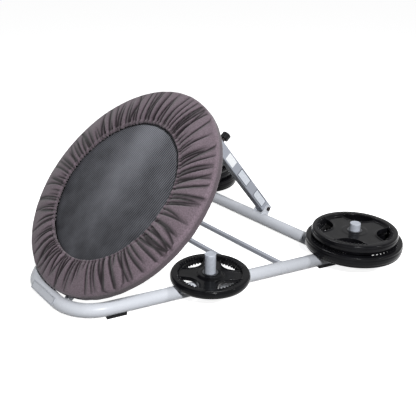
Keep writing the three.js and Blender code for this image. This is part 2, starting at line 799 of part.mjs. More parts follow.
const strutFoot = rearAxis.clone().addScaledVector(offStrut, strutStand).addScaledVector(alongStrut, strutFootRise);
const sleeveTop = sleeveLength - sleeveTail;
const pinHeight = sleeveTop - pinInset;

function strutFootBracket() {
  const bracket = saddleBracket([strutFoot.y - rearAxis.y, strutFoot.z - rearAxis.z], {
    boss: footBossRadius,
    rootShares: footEarRootShares,
    thickness: footEarThickness,
    offset: earOffset(sleeveWidth, footEarThickness),
    webReach: footWebReachDegrees,
  });
  const seat = cylinderAlongX(tubeRadius + seatGap, 2 * sleeveWidth + overrun, tubeSides).translate(...rearAxis);
  return carve(piece("strut_foot_bracket", bracket, finishes.silverPowder, rearAxis.toArray()), seat);
}

function strutHeadBracket() {
  const boss = [ringRadius + headOffset, headHeight];
  const hemDistance = skirtRadius - skirtHemWidth;
  const outline = ringBracketOutline(ringRadius, hemDistance, boss, headBossRadius, headEarWidth);
  outline.holes.push(roundHole(...boss, boltRadius + boltPlay));
  const offset = earOffset(innerWidth, headEarThickness);
  const ears = [-offset, offset].map((x) =>
    acrossX(extrude(outline, headEarThickness, bossSteps), headEarThickness, x),
  );
  const webEdge = hemDistance - rearElasticThickness - hemClearance - headEarWidth;
  const webSpan = ringHeight - headHeight;
  const web = new THREE.BoxGeometry(2 * offset, headWebThickness, webSpan);
  web.translate(0, webEdge + headWebThickness / 2, headHeight + webSpan / 2);
  const bracket = union(...ears, web).translate(0, hingeRise, 0);
  return carve(piece("strut_head_bracket", bracket, finishes.silverPowder), ringEnvelope());
}

function strutSleeve() {
  const tube = rectangularTube(sleeveWidth, sleeveDepth, sleeveCorner, sleeveWall, sleeveLength);
  tube.translate(0, 0, -sleeveTail);
  const boltHole = cylinderAlongX(bushRadius + boltPlay, sleeveWidth + overrun, boltSides);
  const pinHole = cylinder(pinDiameter / 2 + pinPlay, 2 * sleeveWall + overrun, boltSides);
  pinHole.translate(0, sleeveDepth / 2, pinHeight);
  return piece("strut_sleeve", cut(tube, boltHole, pinHole), finishes.silverPowder);
}

// A plastic liner in the sleeve's mouth, with a lip over its end
function sleeveGuide() {
  const [width, depth] = [sleeveWidth, sleeveDepth].map((size) => size - 2 * sleeveWall - 2 * seatGap);
  const linerOutline = roundedRectangle(width, depth, sleeveCorner - sleeveWall / 2);
  const liner = extrude(linerOutline, guideDepth + joinOverlap, cornerSteps);
  const lip = extrude(roundedRectangle(sleeveWidth, sleeveDepth, sleeveCorner), guideFlange, cornerSteps);
  const mouth = extrude(
    roundedRectangle(innerWidth + 2 * seatGap, innerDepth + 2 * seatGap, innerCorner),
    guideDepth + guideFlange + 2 * overrun,
    cornerSteps,
  );
  const guide = cut(
    union(liner.translate(0, 0, -guideDepth), lip.translate(0, 0, seatGap)),
    mouth.translate(0, 0, -guideDepth - overrun),
  );
  return piece("sleeve_guide", guide, finishes.blackPlastic, [0, 0, sleeveTop]);
}

function innerTube() {
  const start = sleeveTop - innerOverlap;
  const tube = rectangularTube(innerWidth, innerDepth, innerCorner, innerWall, strutLength + innerHead - start);
  tube.translate(0, 0, start);
  const headHole = cylinderAlongX(bushRadius + headPlay, innerWidth + overrun, boltSides).translate(0, 0, strutLength);
  const settings = Array.from({ length: settingCount }, (_, index) =>
    cylinder(settingHoleDiameter / 2, 2 * innerWall + overrun / 2, boltSides)
      .translate(0, innerDepth / 2, pinHeight + index * settingPitch),
  );
  return piece("inner_tube", cut(tube, headHole, ...settings), finishes.brightSteel);
}

// A plastic foot on the inner tube, which slides in the sleeve
function innerTubeGlide() {
  const [width, depth] = [sleeveWidth, sleeveDepth].map((size) => size - 2 * sleeveWall - 2 * seatGap);
  const [plugWidth, plugDepth] = [innerWidth, innerDepth].map((size) => size - 2 * innerWall - 2 * seatGap);
  const half = glideLength / 2;
  const block = extrude(roundedRectangle(width, depth, sleeveCorner - sleeveWall / 2), half, cornerSteps);
  const plugOutline = roundedRectangle(plugWidth, plugDepth, innerCorner - innerWall / 2);
  const plug = extrude(plugOutline, half + joinOverlap, cornerSteps);
  const glide = union(block.translate(0, 0, -half - seatGap), plug.translate(0, 0, -seatGap - joinOverlap));
  return piece("inner_tube_glide", glide, finishes.nylon, [0, 0, sleeveTop - innerOverlap]);
}

// Pull pin pieces point along +Z from the strut's axis, and are turned to point along +Y
const outOfStrut = [-Math.PI / 2, 0, 0];
const pinPlace = [0, 0, pinHeight];
const housingBase = sleeveDepth / 2 + seatGap;
const housingTop = housingBase + pinHousingHeight;
const collarTop = housingBase + pinCollarHeight;
const knobBase = housingTop + seatGap;
const housingBore = pinDiameter / 2 + pinPlay;
const stemRadius = pinStemDiameter / 2;

function pinHousing() {
  const profile = [
    [housingBore, housingBase],
    [pinHousingDiameter / 2, housingBase],
    [pinHousingDiameter / 2, housingTop],
    [stemRadius + pinPlay, housingTop],
    [stemRadius + pinPlay, housingTop - pinHousingTop],
    [housingBore, housingTop - pinHousingTop],
  ];
  return piece("pin_housing", revolve(profile, boltSides), finishes.blackOxide, pinPlace, outOfStrut);
}

function pullPin() {
  const profile = [
    [0, innerDepth / 2 + seatGap],
    [pinDiameter / 2, innerDepth / 2 + seatGap],
    [pinDiameter / 2, collarTop],
    [stemRadius, collarTop],
    [stemRadius, knobBase + knobStemDepth],
    [0, knobBase + knobStemDepth],
  ];
  return piece("pull_pin", revolve(profile, boltSides), finishes.brightSteel, pinPlace, outOfStrut);
}

function pinSpring() {
  const [inner, outer] = [stemRadius + pinPlay / 2, stemRadius + pinPlay / 2 + pinSpringWire];
  const [start, end] = [collarTop + seatGap, housingTop - pinHousingTop - seatGap];
  const profile = [
    [inner, start],
    [outer, start],
    [outer, end],
    [inner, end],
  ];
  return piece("pin_spring", revolve(profile, boltSides), finishes.zinc, pinPlace, outOfStrut);
}

function pullKnob() {
  const radius = knobDiameter / 2;
  const cornerCount = fluteCorners * knobFlutes;
  const corners = Array.from({ length: cornerCount }, (_, index) => {
    const angle = (2 * Math.PI * index) / cornerCount;
    const reach = index % fluteCorners < fluteCorners / 2 ? radius : radius - knobFluteDepth;
    return [reach * Math.cos(angle), reach * Math.sin(angle)];
  });
  const grip = extrude(corners, knobHeight - knobRounding).translate(0, 0, knobBase);
  const crown = cylinderAlongZ(radius - knobFluteDepth - knobRounding, knobHeight, 2 * knobFlutes);
  const hole = cylinderAlongZ(stemRadius + seatGap, knobStemDepth + 2 * seatGap, boltSides);
  const knob = cut(
    union(grip, crown.translate(0, 0, knobBase + knobHeight / 2)),
    hole.translate(0, 0, knobBase + knobStemDepth / 2),
  );
  return piece("pull_knob", knob, finishes.blackPlastic, pinPlace, outOfStrut);
}

// A grip plate's rubber body: hub boss, recessed web, chamfered rim, and grip slots bowed towards the hub
function gripPlateBody({ diameter, thickness, hubRecess }) {
  const [radius, middle] = [diameter / 2, thickness / 2];
  const seat = (plateBore / 2 + hubRingWall + seatGap) / Math.cos(Math.PI / plateSides);
  const [hub, web, rim] = [middle - hubRecess, middle - webRecess, radius - rimWidth];
  const upper = [
    [seat, hub],
    [hubBossRadius, hub],
    [hubBossRadius + hubSlope, web],
    [rim, web],
    [rim + rimSlope, middle],
    [radius - rimRounding, middle],
    [radius, middle - rimRounding],
  ];
  const lower = upper.map(([r, z]) => [r, -z]).reverse();
  const body = revolve([...upper, ...lower], plateSides);
  const half = radians(slotHalfAngleDegrees);
  const [outside, inside] = [rim + rimSlope / 2, rim - radius * slotReachShare];
  const corner = [outside * Math.cos(half), outside * Math.sin(half)];
  const slot = new THREE.Shape()
    .moveTo(corner[0], -corner[1])
    .absarc(0, 0, outside, -half, half, false)
    .quadraticCurveTo(2 * inside - corner[0], 0, corner[0], -corner[1]);
  const slots = Array.from({ length: gripSlots }, (_, index) =>
    extrude(slot, thickness + 2 * overrun, slotSteps)
      .translate(0, 0, -middle - overrun)
      .rotateZ((2 * Math.PI * index) / gripSlots),
  );
  return cut(body, ...slots);
}

// The steel ring in a plate's hub, with a lip over the rubber on top
function hubRing({ thickness, hubRecess }) {
  const bore = plateBore / 2;
  const barrel = bore + hubRingWall;
  const face = thickness / 2 - hubRecess + seatGap;
  return revolve(
    [
      [bore, face + hubRingLip],
      [barrel + hubRingLip, face + hubRingLip],
      [barrel + hubRingLip, face],
      [barrel, face],
      [barrel, -face],
      [bore, -face],
    ],
    hubRingSides,
  );
}

function gripPlate(name, size) {
  const turn = [0, 0, radians(size.turnDegrees)];
  const plate = new THREE.Group();
  plate.add(
    piece(name, gripPlateBody(size), finishes.rubber, [0, 0, 0], turn),
    piece(name + "_hub_ring", hubRing(size), finishes.brightSteel, [0, 0, 0], turn),
  );
  return plate;
}

function loadedPlates() {
  const loads = new THREE.Group();
  for (const [name, side] of Object.entries(sides)) {
    const resting = tubeTop + seatGap;
    const front = gripPlate("front_" + name + "_plate", gripPlates.small);
    front.position.set(...onLeg(side, pegDistances.front, resting + gripPlates.small.thickness / 2).position);
    const lower = gripPlate("rear_" + name + "_lower_plate", gripPlates.lower);
    lower.position.set(...onLeg(side, pegDistances.rear, resting + gripPlates.lower.thickness / 2).position);
    const upper = gripPlate("rear_" + name + "_upper_plate", gripPlates.upper);
    upper.position.z = (gripPlates.lower.thickness + gripPlates.upper.thickness) / 2 + seatGap;
    lower.add(upper);
    loads.add(front, lower);
  }
  return loads;
}

function baseFrame() {
  const base = new THREE.Group();
  base.add(baseTube(), rearCrossTube(), crossBar("front"), crossBar("rear"), frontFacePlate());
  for (const [name, side] of Object.entries(sides)) {
    base.add(legCap(name, side), foot("front", name, side), foot("rear", name, side));
    base.add(peg("front", name, side), peg("rear", name, side));
    base.add(hingeBracket(name, side), ...hingePivot(name, side));
  }
  base.add(strutFootBracket(), ...pivot("strut_foot", sleeveWidth, footEarThickness, strutFoot.toArray()));
  return base;
}

function deck() {
  const group = new THREE.Group();
  group.position.copy(hinge);
  group.rotation.x = deckTilt;
  group.add(rimRing(), mat(), matEdgeBand(), lacingCord(), skirt(), ...skirtElastics());
  for (const [name, side] of Object.entries(sides)) group.add(hingeLug(name, side));
  group.add(strutHeadBracket(), ...pivot("strut_head", innerWidth, headEarThickness, [0, headRise, headHeight]));
  return group;
}

function strut() {
  const group = new THREE.Group();
  group.position.copy(strutFoot);
  group.rotation.x = strutLean;
  group.add(strutSleeve(), sleeveGuide(), innerTube(), innerTubeGlide());
  group.add(pinHousing(), pullPin(), pinSpring(), pullKnob());
  return group;
}

const rebounder = new THREE.Group();
rebounder.add(baseFrame(), deck(), strut(), loadedPlates());

// The footprint's middle goes to the origin
rebounder.updateMatrixWorld(true);
const footprint = new THREE.Box3().setFromObject(rebounder, true);
rebounder.position.y = -(footprint.min.y + footprint.max.y) / 2;

export default rebounder;
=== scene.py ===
"""Medicine ball rebounder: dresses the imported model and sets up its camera, lamps and floor.

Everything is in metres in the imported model's own frame. Each sub-assembly is a class that holds its sizes,
builds its pieces and lets them ride on the bodies of the model.
"""

from __future__ import annotations

import logging
import math
import random
from dataclasses import dataclass, field
from enum import Enum
from typing import Any, Callable, Iterable, Sequence

import bmesh
import bpy
from mathutils import Matrix, Vector, noise

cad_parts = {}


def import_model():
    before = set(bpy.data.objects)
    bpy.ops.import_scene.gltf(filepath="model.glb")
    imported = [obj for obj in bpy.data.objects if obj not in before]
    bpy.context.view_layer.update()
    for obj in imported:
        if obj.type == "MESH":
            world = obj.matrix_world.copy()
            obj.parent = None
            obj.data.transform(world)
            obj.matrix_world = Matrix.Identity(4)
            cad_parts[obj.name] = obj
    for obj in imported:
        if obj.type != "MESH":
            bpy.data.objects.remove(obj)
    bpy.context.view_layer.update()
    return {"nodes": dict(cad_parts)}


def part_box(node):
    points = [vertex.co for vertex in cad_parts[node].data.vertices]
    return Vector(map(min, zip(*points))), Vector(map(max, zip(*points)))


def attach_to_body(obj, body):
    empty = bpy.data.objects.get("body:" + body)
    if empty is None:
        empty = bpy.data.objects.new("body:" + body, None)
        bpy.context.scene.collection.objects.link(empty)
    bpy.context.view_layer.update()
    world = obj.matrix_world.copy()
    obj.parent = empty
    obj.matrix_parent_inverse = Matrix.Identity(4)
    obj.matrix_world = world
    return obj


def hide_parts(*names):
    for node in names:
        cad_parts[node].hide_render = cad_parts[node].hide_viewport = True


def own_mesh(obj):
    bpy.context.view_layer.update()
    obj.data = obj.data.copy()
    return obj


log = logging.getLogger("rebounder")

MM = 0.001
FULL_TURN = 2 * math.pi
SAME_PLACE = 1e-6
WAVES_PER_TURN = 20  # Blender's wave texture repeats this often in a length of 2 pi
NOISE_REACH = 0.3  # how far most of Blender's noise lies from its middle

Box = tuple[Vector, Vector]
Material = bpy.types.Material
Outline = Callable[[float], tuple[float, float]]
Rim = list[bmesh.types.BMEdge]
Shape = bmesh.types.BMesh
Triple = tuple[float, float, float]


class Side(Enum):
    """The two sides of the base, with their sign along X."""

    LEFT = -1
    RIGHT = 1

    @property
    def label(self) -> str:
        """The word that node names use for this side."""
        return self.name.lower()


class End(Enum):
    """The two ends of a leg, by the word that node names use."""

    FRONT = "front"
    REAR = "rear"


# Colour and nodes


def linear(colour: str) -> tuple[float, float, float, float]:
    """Turns an sRGB hex colour to the linear colour that shaders take.

    Args:
        colour: The colour, such as "#8090a0".

    Returns:
        Linear red, green and blue, and an alpha of 1.
    """
    channels = (int(colour[i : i + 2], 16) / 255 for i in (1, 3, 5))
    red, green, blue = (c / 12.92 if c <= 0.04045 else ((c + 0.055) / 1.055) ** 2.4 for c in channels)
    return red, green, blue, 1.0


def add_node(
    tree: bpy.types.NodeTree, kind: str, inputs: dict[Any, Any] | None = None, **settings: Any
) -> Any:
    """Adds a node with its settings, values and links.

    Args:
        tree: The node tree of a material or world.
        kind: The node's type name.
        inputs: Values by socket; a value that is a socket is linked.
        **settings: Properties of the node itself.

    Returns:
        The new node.
    """
    made = tree.nodes.new(kind)
    for name, value in settings.items():
        setattr(made, name, value)
    for name, value in (inputs or {}).items():
        socket = made.inputs[name]
        if isinstance(value, bpy.types.NodeSocket):
            tree.links.new(value, socket)
        else:
            socket.default_value = value
    return made


def wave_scale(pitch: float) -> float:
    """The scale at which the bands of Blender's wave texture lie a pitch apart."""
    return FULL_TURN / WAVES_PER_TURN / pitch


@dataclass(frozen=True)
class Surface:
    """One material under way: its nodes, its shader and the socket with the place on the object."""

    tree: bpy.types.NodeTree
    shader: Any
    place: Any

    def grain(self, size: float, detail: float = 2.0, contrast: float = 1.0, place: Any = None) -> Any:
        """Makes a noise pattern.

        Args:
            size: The size of a grain in metres.
            detail: Octaves of finer grain.
            contrast: How far the noise is spread about its middle.
            place: The socket with the place, where it isn't the object's own.

        Returns:
            A socket from 0 to 1.
        """
        where = self.place if place is None else place
        pattern = {"Vector": where, "Scale": 1 / size, "Detail": detail}
        cells = add_node(self.tree, "ShaderNodeTexNoise", pattern)
        reach = NOISE_REACH / contrast
        ends = {"Value": cells.outputs["Fac"], "From Min": 0.5 - reach, "From Max": 0.5 + reach}
        return add_node(self.tree, "ShaderNodeMapRange", ends).outputs["Result"]

    def tint(self, share: Any, shade: str, start: str | None = None) -> None:
        """Colours the surface by a share.

        Args:
            share: A socket from 0 to 1.
            shade: The sRGB colour at 1.
            start: The sRGB colour at 0, or None for the colour that the surface has so far.
        """
        base = self.shader.inputs["Base Color"]
        first = base.links[0].from_socket if start is None else linear(start)
        mix = add_node(self.tree, "ShaderNodeMix", {0: share, 6: first, 7: linear(shade)}, data_type="RGBA")
        self.tree.links.new(mix.outputs[2], base)

    def raise_by(self, height: Any, depth: float, strength: float) -> None:
        """Raises the surface by a pattern.

        Args:
            height: The pattern, a socket from 0 to 1.
            depth: What 1 stands for, in metres.
            strength: The share of the bump that counts.
        """
        relief = {"Height": height, "Distance": depth, "Strength": strength}
        bump = add_node(self.tree, "ShaderNodeBump", relief)
        self.tree.links.new(bump.outputs["Normal"], self.shader.inputs["Normal"])


@dataclass(frozen=True)
class Finish:
    """A surface: what it is made of, its colour and how it shines.

    Attributes:
        name: The material's name.
        colour: Its sRGB colour.
        shade: A darker or lighter sRGB colour that the surface varies towards.
        roughness: Its roughness at rest.
        metallic: 1 for bare metal, 0 for cloth, rubber and plastic.
        gloss: Its specular level, which is low because the white studio shows in it.
    """

    name: str
    colour: str
    shade: str
    roughness: float
    metallic: float = 0.0
    gloss: float = 0.5

    def build(self) -> Material:
        """Makes the material.

        Returns:
            The material with its nodes.
        """
        material = bpy.data.materials.new(self.name)
        material.use_nodes = True
        tree = material.node_tree
        tree.nodes.clear()
        place = add_node(tree, "ShaderNodeTexCoord").outputs["Object"]
        shine = {"Metallic": self.metallic, "Roughness": self.roughness, "Specular IOR Level": self.gloss}
        shader = add_node(tree, "ShaderNodeBsdfPrincipled", shine)
        self.dress(Surface(tree, shader, place))
        add_node(tree, "ShaderNodeOutputMaterial", {"Surface": shader.outputs["BSDF"]})
        return material

    def dress(self, on: Surface) -> None:
        """Links the finish's pattern to a surface's shader.

        Args:
            on: The surface.
        """
        raise NotImplementedError

    def vary(self, on: Surface, share: Any) -> None:
        """Varies the colour of a surface by a share, from colour at 0 to shade at 1."""
        on.tint(share, self.shade, self.colour)

    def roughen(self, on: Surface, share: Any, less: float, more: float) -> None:
        """Varies the roughness about the finish's own.

        Args:
            on: The surface.
            share: A socket from 0 to 1.
            less: How much smoother the surface is at 0.
            more: How much rougher it is at 1.
        """
        ends = {"Value": share, "To Min": self.roughness - less, "To Max": self.roughness + more}
        span = add_node(on.tree, "ShaderNodeMapRange", ends)
        on.tree.links.new(span.outputs["Result"], on.shader.inputs["Roughness"])


@dataclass(frozen=True)
class PowderCoat(Finish):
    """Metallic polyester powder baked on steel: satin, with a fine orange peel and a silver flake.

    The flake of the real coat is about 0.05 mm. It is drawn 0.8 mm wide, which still melts together at arm's
    length.
    """

    peel: float = 2.2 * MM
    peel_depth: float = 0.02 * MM
    flake: float = 0.8 * MM
    marks: float = 60 * MM

    def dress(self, on: Surface) -> None:
        """Links flake, peel and faint handling marks.

        Args:
            on: The surface.
        """
        self.vary(on, on.grain(self.flake, 1.0, 1.6))
        self.roughen(on, on.grain(self.marks), 0.03, 0.06)
        on.raise_by(on.grain(self.peel), self.peel_depth, 0.4)


@dataclass(frozen=True)
class PlatedSteel(Finish):
    """Turned and zinc plated steel: bare metal with faint turning rings and a little haze."""

    ring: float = 0.9 * MM
    ring_depth: float = 0.01 * MM
    haze: float = 9 * MM

    def dress(self, on: Surface) -> None:
        """Links haze and turning marks.

        Args:
            on: The surface.
        """
        self.vary(on, on.grain(self.haze, 3.0))
        stretched = add_node(on.tree, "ShaderNodeMapping", {"Vector": on.place, "Scale": (0.06, 0.06, 1.0)})
        marks = on.grain(self.ring, 1.0, place=stretched.outputs["Vector"])
        self.roughen(on, marks, 0.05, 0.1)
        on.raise_by(marks, self.ring_depth, 0.4)


@dataclass(frozen=True)
class OxidisedSteel(Finish):
    """Black oxide on steel fasteners: dark, slightly oily metal with a brown cast."""

    film: float = 4 * MM

    def dress(self, on: Surface) -> None:
        """Links an uneven oil film.

        Args:
            on: The surface.
        """
        film = on.grain(self.film, 3.0)
        self.vary(on, film)
        self.roughen(on, film, 0.08, 0.12)


@dataclass(frozen=True)
class MouldedRubber(Finish):
    """Rubber moulded over cast iron: black and half glossy, with a soft pebble and paler dust in places."""

    pebble: float = 1.4 * MM
    pebble_depth: float = 0.025 * MM
    dust: float = 35 * MM

    def dress(self, on: Surface) -> None:
        """Links pebble, dust and patchy gloss.

        Args:
            on: The surface.
        """
        dust = on.grain(self.dust, 4.0, 1.3)
        self.vary(on, dust)
        self.roughen(on, dust, 0.06, 0.1)
        on.raise_by(on.grain(self.pebble), self.pebble_depth, 0.7)


@dataclass(frozen=True)
class MouldedPlastic(Finish):
    """Injection moulded nylon or polypropylene: plain, with a spark eroded texture."""

    spark: float = 0.7 * MM
    spark_depth: float = 0.02 * MM
    flow: float = 20 * MM

    def dress(self, on: Surface) -> None:
        """Links the mould's texture and the melt's flow.

        Args:
            on: The surface.
        """
        texture = on.grain(self.spark)
        self.vary(on, on.grain(self.flow))
        self.roughen(on, texture, 0.05, 0.05)
        on.raise_by(texture, self.spark_depth, 0.6)


@dataclass(frozen=True)
class WovenMat(Finish):
    """Woven polypropylene trampoline cloth: dark, a little glossy, ribbed along the weft.

    The tapes are 1.2 mm wide. Over that weave, at its real size, lighter ribs are drawn 11 mm apart, wide
    enough to show in a picture of the whole thing. A paler band down the middle is a painted sheen, and the
    ribs and that band are painted lighter up the slope. The mat's rim, which is folded under and sewn, is
    black: partly its binding, partly painted shade under the skirt's edge.
    """

    rib: float = 11 * MM
    tape: float = 1.2 * MM
    weave_depth: float = 0.6 * MM
    lean: float = 82.0
    cloud: float = 90 * MM
    # Where the painted sheen band lies and how wide it is, and the slope over which the mat is painted
    # lighter upwards.
    lane_middle: float = -30 * MM
    lane_reach: float = 170 * MM
    slope_reach: float = 0.3
    # The black rim: partly the sewn binding, partly painted shade under the skirt's edge.
    border: float = 350 * MM
    border_fade: float = 2 * MM
    border_colour: str = "#0c0c0d"

    def dress(self, on: Surface) -> None:
        """Links ribs, tapes, the painted sheen band, the black rim with its painted shade and a cloudy gloss.

        Args:
            on: The surface.
        """
        tree = on.tree
        flat = add_node(tree, "ShaderNodeUVMap", uv_map="weave").outputs["UV"]
        lean = (0.0, 0.0, math.radians(90 - self.lean))
        turned = add_node(tree, "ShaderNodeMapping", {"Vector": flat, "Rotation": lean}).outputs["Vector"]
        ribs = add_node(
            tree,
            "ShaderNodeTexWave",
            {"Vector": turned, "Scale": wave_scale(self.rib), "Distortion": 0.25, "Detail": 1.0},
            bands_direction="X",
        ).outputs["Fac"]
        tapes = add_node(
            tree,
            "ShaderNodeTexWave",
            {"Vector": turned, "Scale": wave_scale(self.tape), "Distortion": 0.3},
            bands_direction="Y",
        ).outputs["Fac"]
        clouds = on.grain(self.cloud, 3.0, 1.2, turned)
        # Painted sheen and light up the slope, mixed with the ribs and clouds.
        self.vary(on, self.scuffs(on, flat, ribs, clouds))
        # Painted shade with the black binding: the mat darkens past the border radius.
        reach = add_node(tree, "ShaderNodeVectorMath", {0: flat}, operation="LENGTH").outputs["Value"]
        edge = {"Value": reach, "From Min": self.border, "From Max": self.border + self.border_fade}
        on.tint(add_node(tree, "ShaderNodeMapRange", edge).outputs["Result"], self.border_colour)
        self.roughen(on, clouds, 0.06, 0.08)
        cloth = add_node(tree, "ShaderNodeMix", {0: 0.3, 2: ribs, 3: tapes}).outputs[0]
        on.raise_by(cloth, self.weave_depth, 0.6)

    def scuffs(self, on: Surface, flat: Any, ribs: Any, clouds: Any) -> Any:
        """Says how pale the mat is: ribs, clouds and a painted sheen band, with painted light that grows up
        the slope.

        Args:
            on: The surface.
            flat: The socket with the place on the flat mat.
            ribs: The ribs' socket.
            clouds: The clouds' socket.

        Returns:
            A socket from 0, dark, to 1, pale.
        """
        tree = on.tree
        # Painted light: a pale sheen band down the middle, and ribs and band made lighter up the slope.
        parts = add_node(tree, "ShaderNodeSeparateXYZ", {"Vector": flat})
        offset = {0: parts.outputs["X"], 1: self.lane_middle}
        aside = add_node(tree, "ShaderNodeMath", offset, operation="SUBTRACT")
        away = add_node(tree, "ShaderNodeMath", {0: aside.outputs[0]}, operation="ABSOLUTE")
        width = {"Value": away.outputs[0], "From Min": self.lane_reach, "From Max": 0.0}
        sheen_lane = add_node(tree, "ShaderNodeMapRange", width, interpolation_type="SMOOTHSTEP").outputs["Result"]
        slope = {"Value": parts.outputs["Y"], "From Min": -self.slope_reach, "From Max": self.slope_reach}
        upslope_range = {"To Min": 0.1, "To Max": 1.0}
        upper = add_node(tree, "ShaderNodeMapRange", slope | upslope_range).outputs["Result"]
        thin = add_node(tree, "ShaderNodeMath", {0: ribs, 1: 1.5}, operation="POWER").outputs[0]
        drawn = add_node(tree, "ShaderNodeMath", {0: thin, 1: upper}, operation="MULTIPLY").outputs[0]
        lit_upslope = add_node(tree, "ShaderNodeMapRange", {"Value": upper} | upslope_range).outputs["Result"]
        sheen_run = add_node(tree, "ShaderNodeMath", {0: sheen_lane, 1: lit_upslope}, operation="MULTIPLY").outputs[0]
        sheen_and_clouds = add_node(tree, "ShaderNodeMix", {0: 0.3, 2: sheen_run, 3: clouds}).outputs[0]
        return add_node(tree, "ShaderNodeMix", {0: 0.5, 2: sheen_and_clouds, 3: drawn}).outputs[0]


@dataclass(frozen=True)
class Webbing(Finish):
    """Woven polyester webbing: black and matt with a herringbone of small ribs."""

    rib: float = 2.0 * MM
    rib_depth: float = 0.2 * MM
    lint: float = 12 * MM
    sheen: float = 0.15

    def dress(self, on: Surface) -> None:
        """Links ribs and lint.

        Args:
            on: The surface.
        """
        on.shader.inputs["Sheen Weight"].default_value = self.sheen
        ribs = add_node(
            on.tree,
            "ShaderNodeTexWave",
            {"Vector": on.place, "Scale": wave_scale(self.rib), "Distortion": 1.2, "Detail": 1.0},
            bands_direction="DIAGONAL",
        ).outputs["Fac"]
        self.vary(on, on.grain(self.lint, 3.0))
        on.raise_by(ribs, self.rib_depth, 0.6)


@dataclass(frozen=True)
class SkirtCloth(Finish):
    """Plain woven polyester: warm grey, matt, with a soft nap and uneven fading.

    Its threads are 0.5 mm apart. The weave is drawn at 1.6 mm, so that it just shows in a close view. The
    cloth is painted darker in its pinched folds, as shade, and darker by a fixed share on its side and hem;
    the mesh's "fold" attribute says where.
    """

    thread: float = 1.6 * MM
    thread_depth: float = 0.18 * MM
    slub: float = 5.0 * MM
    fading: float = 120 * MM
    sheen: float = 0.2
    sheen_roughness: float = 0.6
    # Painted shade: the colour that the cloth darkens towards deep in a fold.
    unfaded: str = "#1f191d"

    def dress(self, on: Surface) -> None:
        """Links weave, slub, fading and the painted shade of the folds.

        Args:
            on: The surface.
        """
        on.shader.inputs["Sheen Weight"].default_value = self.sheen
        on.shader.inputs["Sheen Roughness"].default_value = self.sheen_roughness
        slub = on.grain(self.slub, 3.0, 2.0)
        fading = on.grain(self.fading)
        self.vary(on, add_node(on.tree, "ShaderNodeMix", {0: 0.3, 2: slub, 3: fading}).outputs[0])
        # Painted shade: the "fold" attribute darkens the cloth in its folds, and by a fixed share on its side
        # and hem.
        pinched = add_node(on.tree, "ShaderNodeAttribute", attribute_name="fold").outputs["Fac"]
        on.tint(pinched, self.unfaded)
        threads = {"Vector": on.place, "Scale": wave_scale(self.thread), "Distortion": 0.8}
        warp, weft = (
            add_node(on.tree, "ShaderNodeTexWave", threads, bands_direction=way).outputs["Fac"]
            for way in ("X", "Y")
        )
        crossed = add_node(on.tree, "ShaderNodeMath", {0: warp, 1: weft}, operation="MULTIPLY").outputs[0]
        on.raise_by(crossed, self.thread_depth, 0.5)


@dataclass(frozen=True)
class BraidedCord(Finish):
    """Braided polyester over rubber strands: a black elastic cord with a diamond braid.

    The braid's own picks are 0.8 mm long and drawn 2.5 mm long.
    """

    pick: float = 2.5 * MM
    pick_depth: float = 0.25 * MM
    sheen: float = 0.15

    def dress(self, on: Surface) -> None:
        """Links the braid.

        Args:
            on: The surface.
        """
        on.shader.inputs["Sheen Weight"].default_value = self.sheen
        cells = {"Vector": on.place, "Scale": 1 / self.pick, "Randomness": 0.4}
        picks = add_node(on.tree, "ShaderNodeTexVoronoi", cells, distance="MANHATTAN").outputs["Distance"]
        self.vary(on, picks)
        on.raise_by(picks, self.pick_depth, 0.6)


@dataclass(frozen=True)
class LabelFilm(Finish):
    """Satin vinyl film on a flat tube: pale, bare, with a faint mottle and soft scuffs."""

    scuff: float = 6 * MM
    mottle: float = 1.5 * MM
    mottle_depth: float = 0.01 * MM

    def dress(self, on: Surface) -> None:
        """Links mottle and scuffs.

        Args:
            on: The surface.
        """
        scuffs = on.grain(self.scuff, 4.0, 1.4)
        self.vary(on, scuffs)
        self.roughen(on, scuffs, 0.05, 0.1)
        on.raise_by(on.grain(self.mottle), self.mottle_depth, 0.4)


def made_of(finish: Finish) -> Any:
    """A field that holds the material of a finish."""
    return field(default_factory=finish.build)


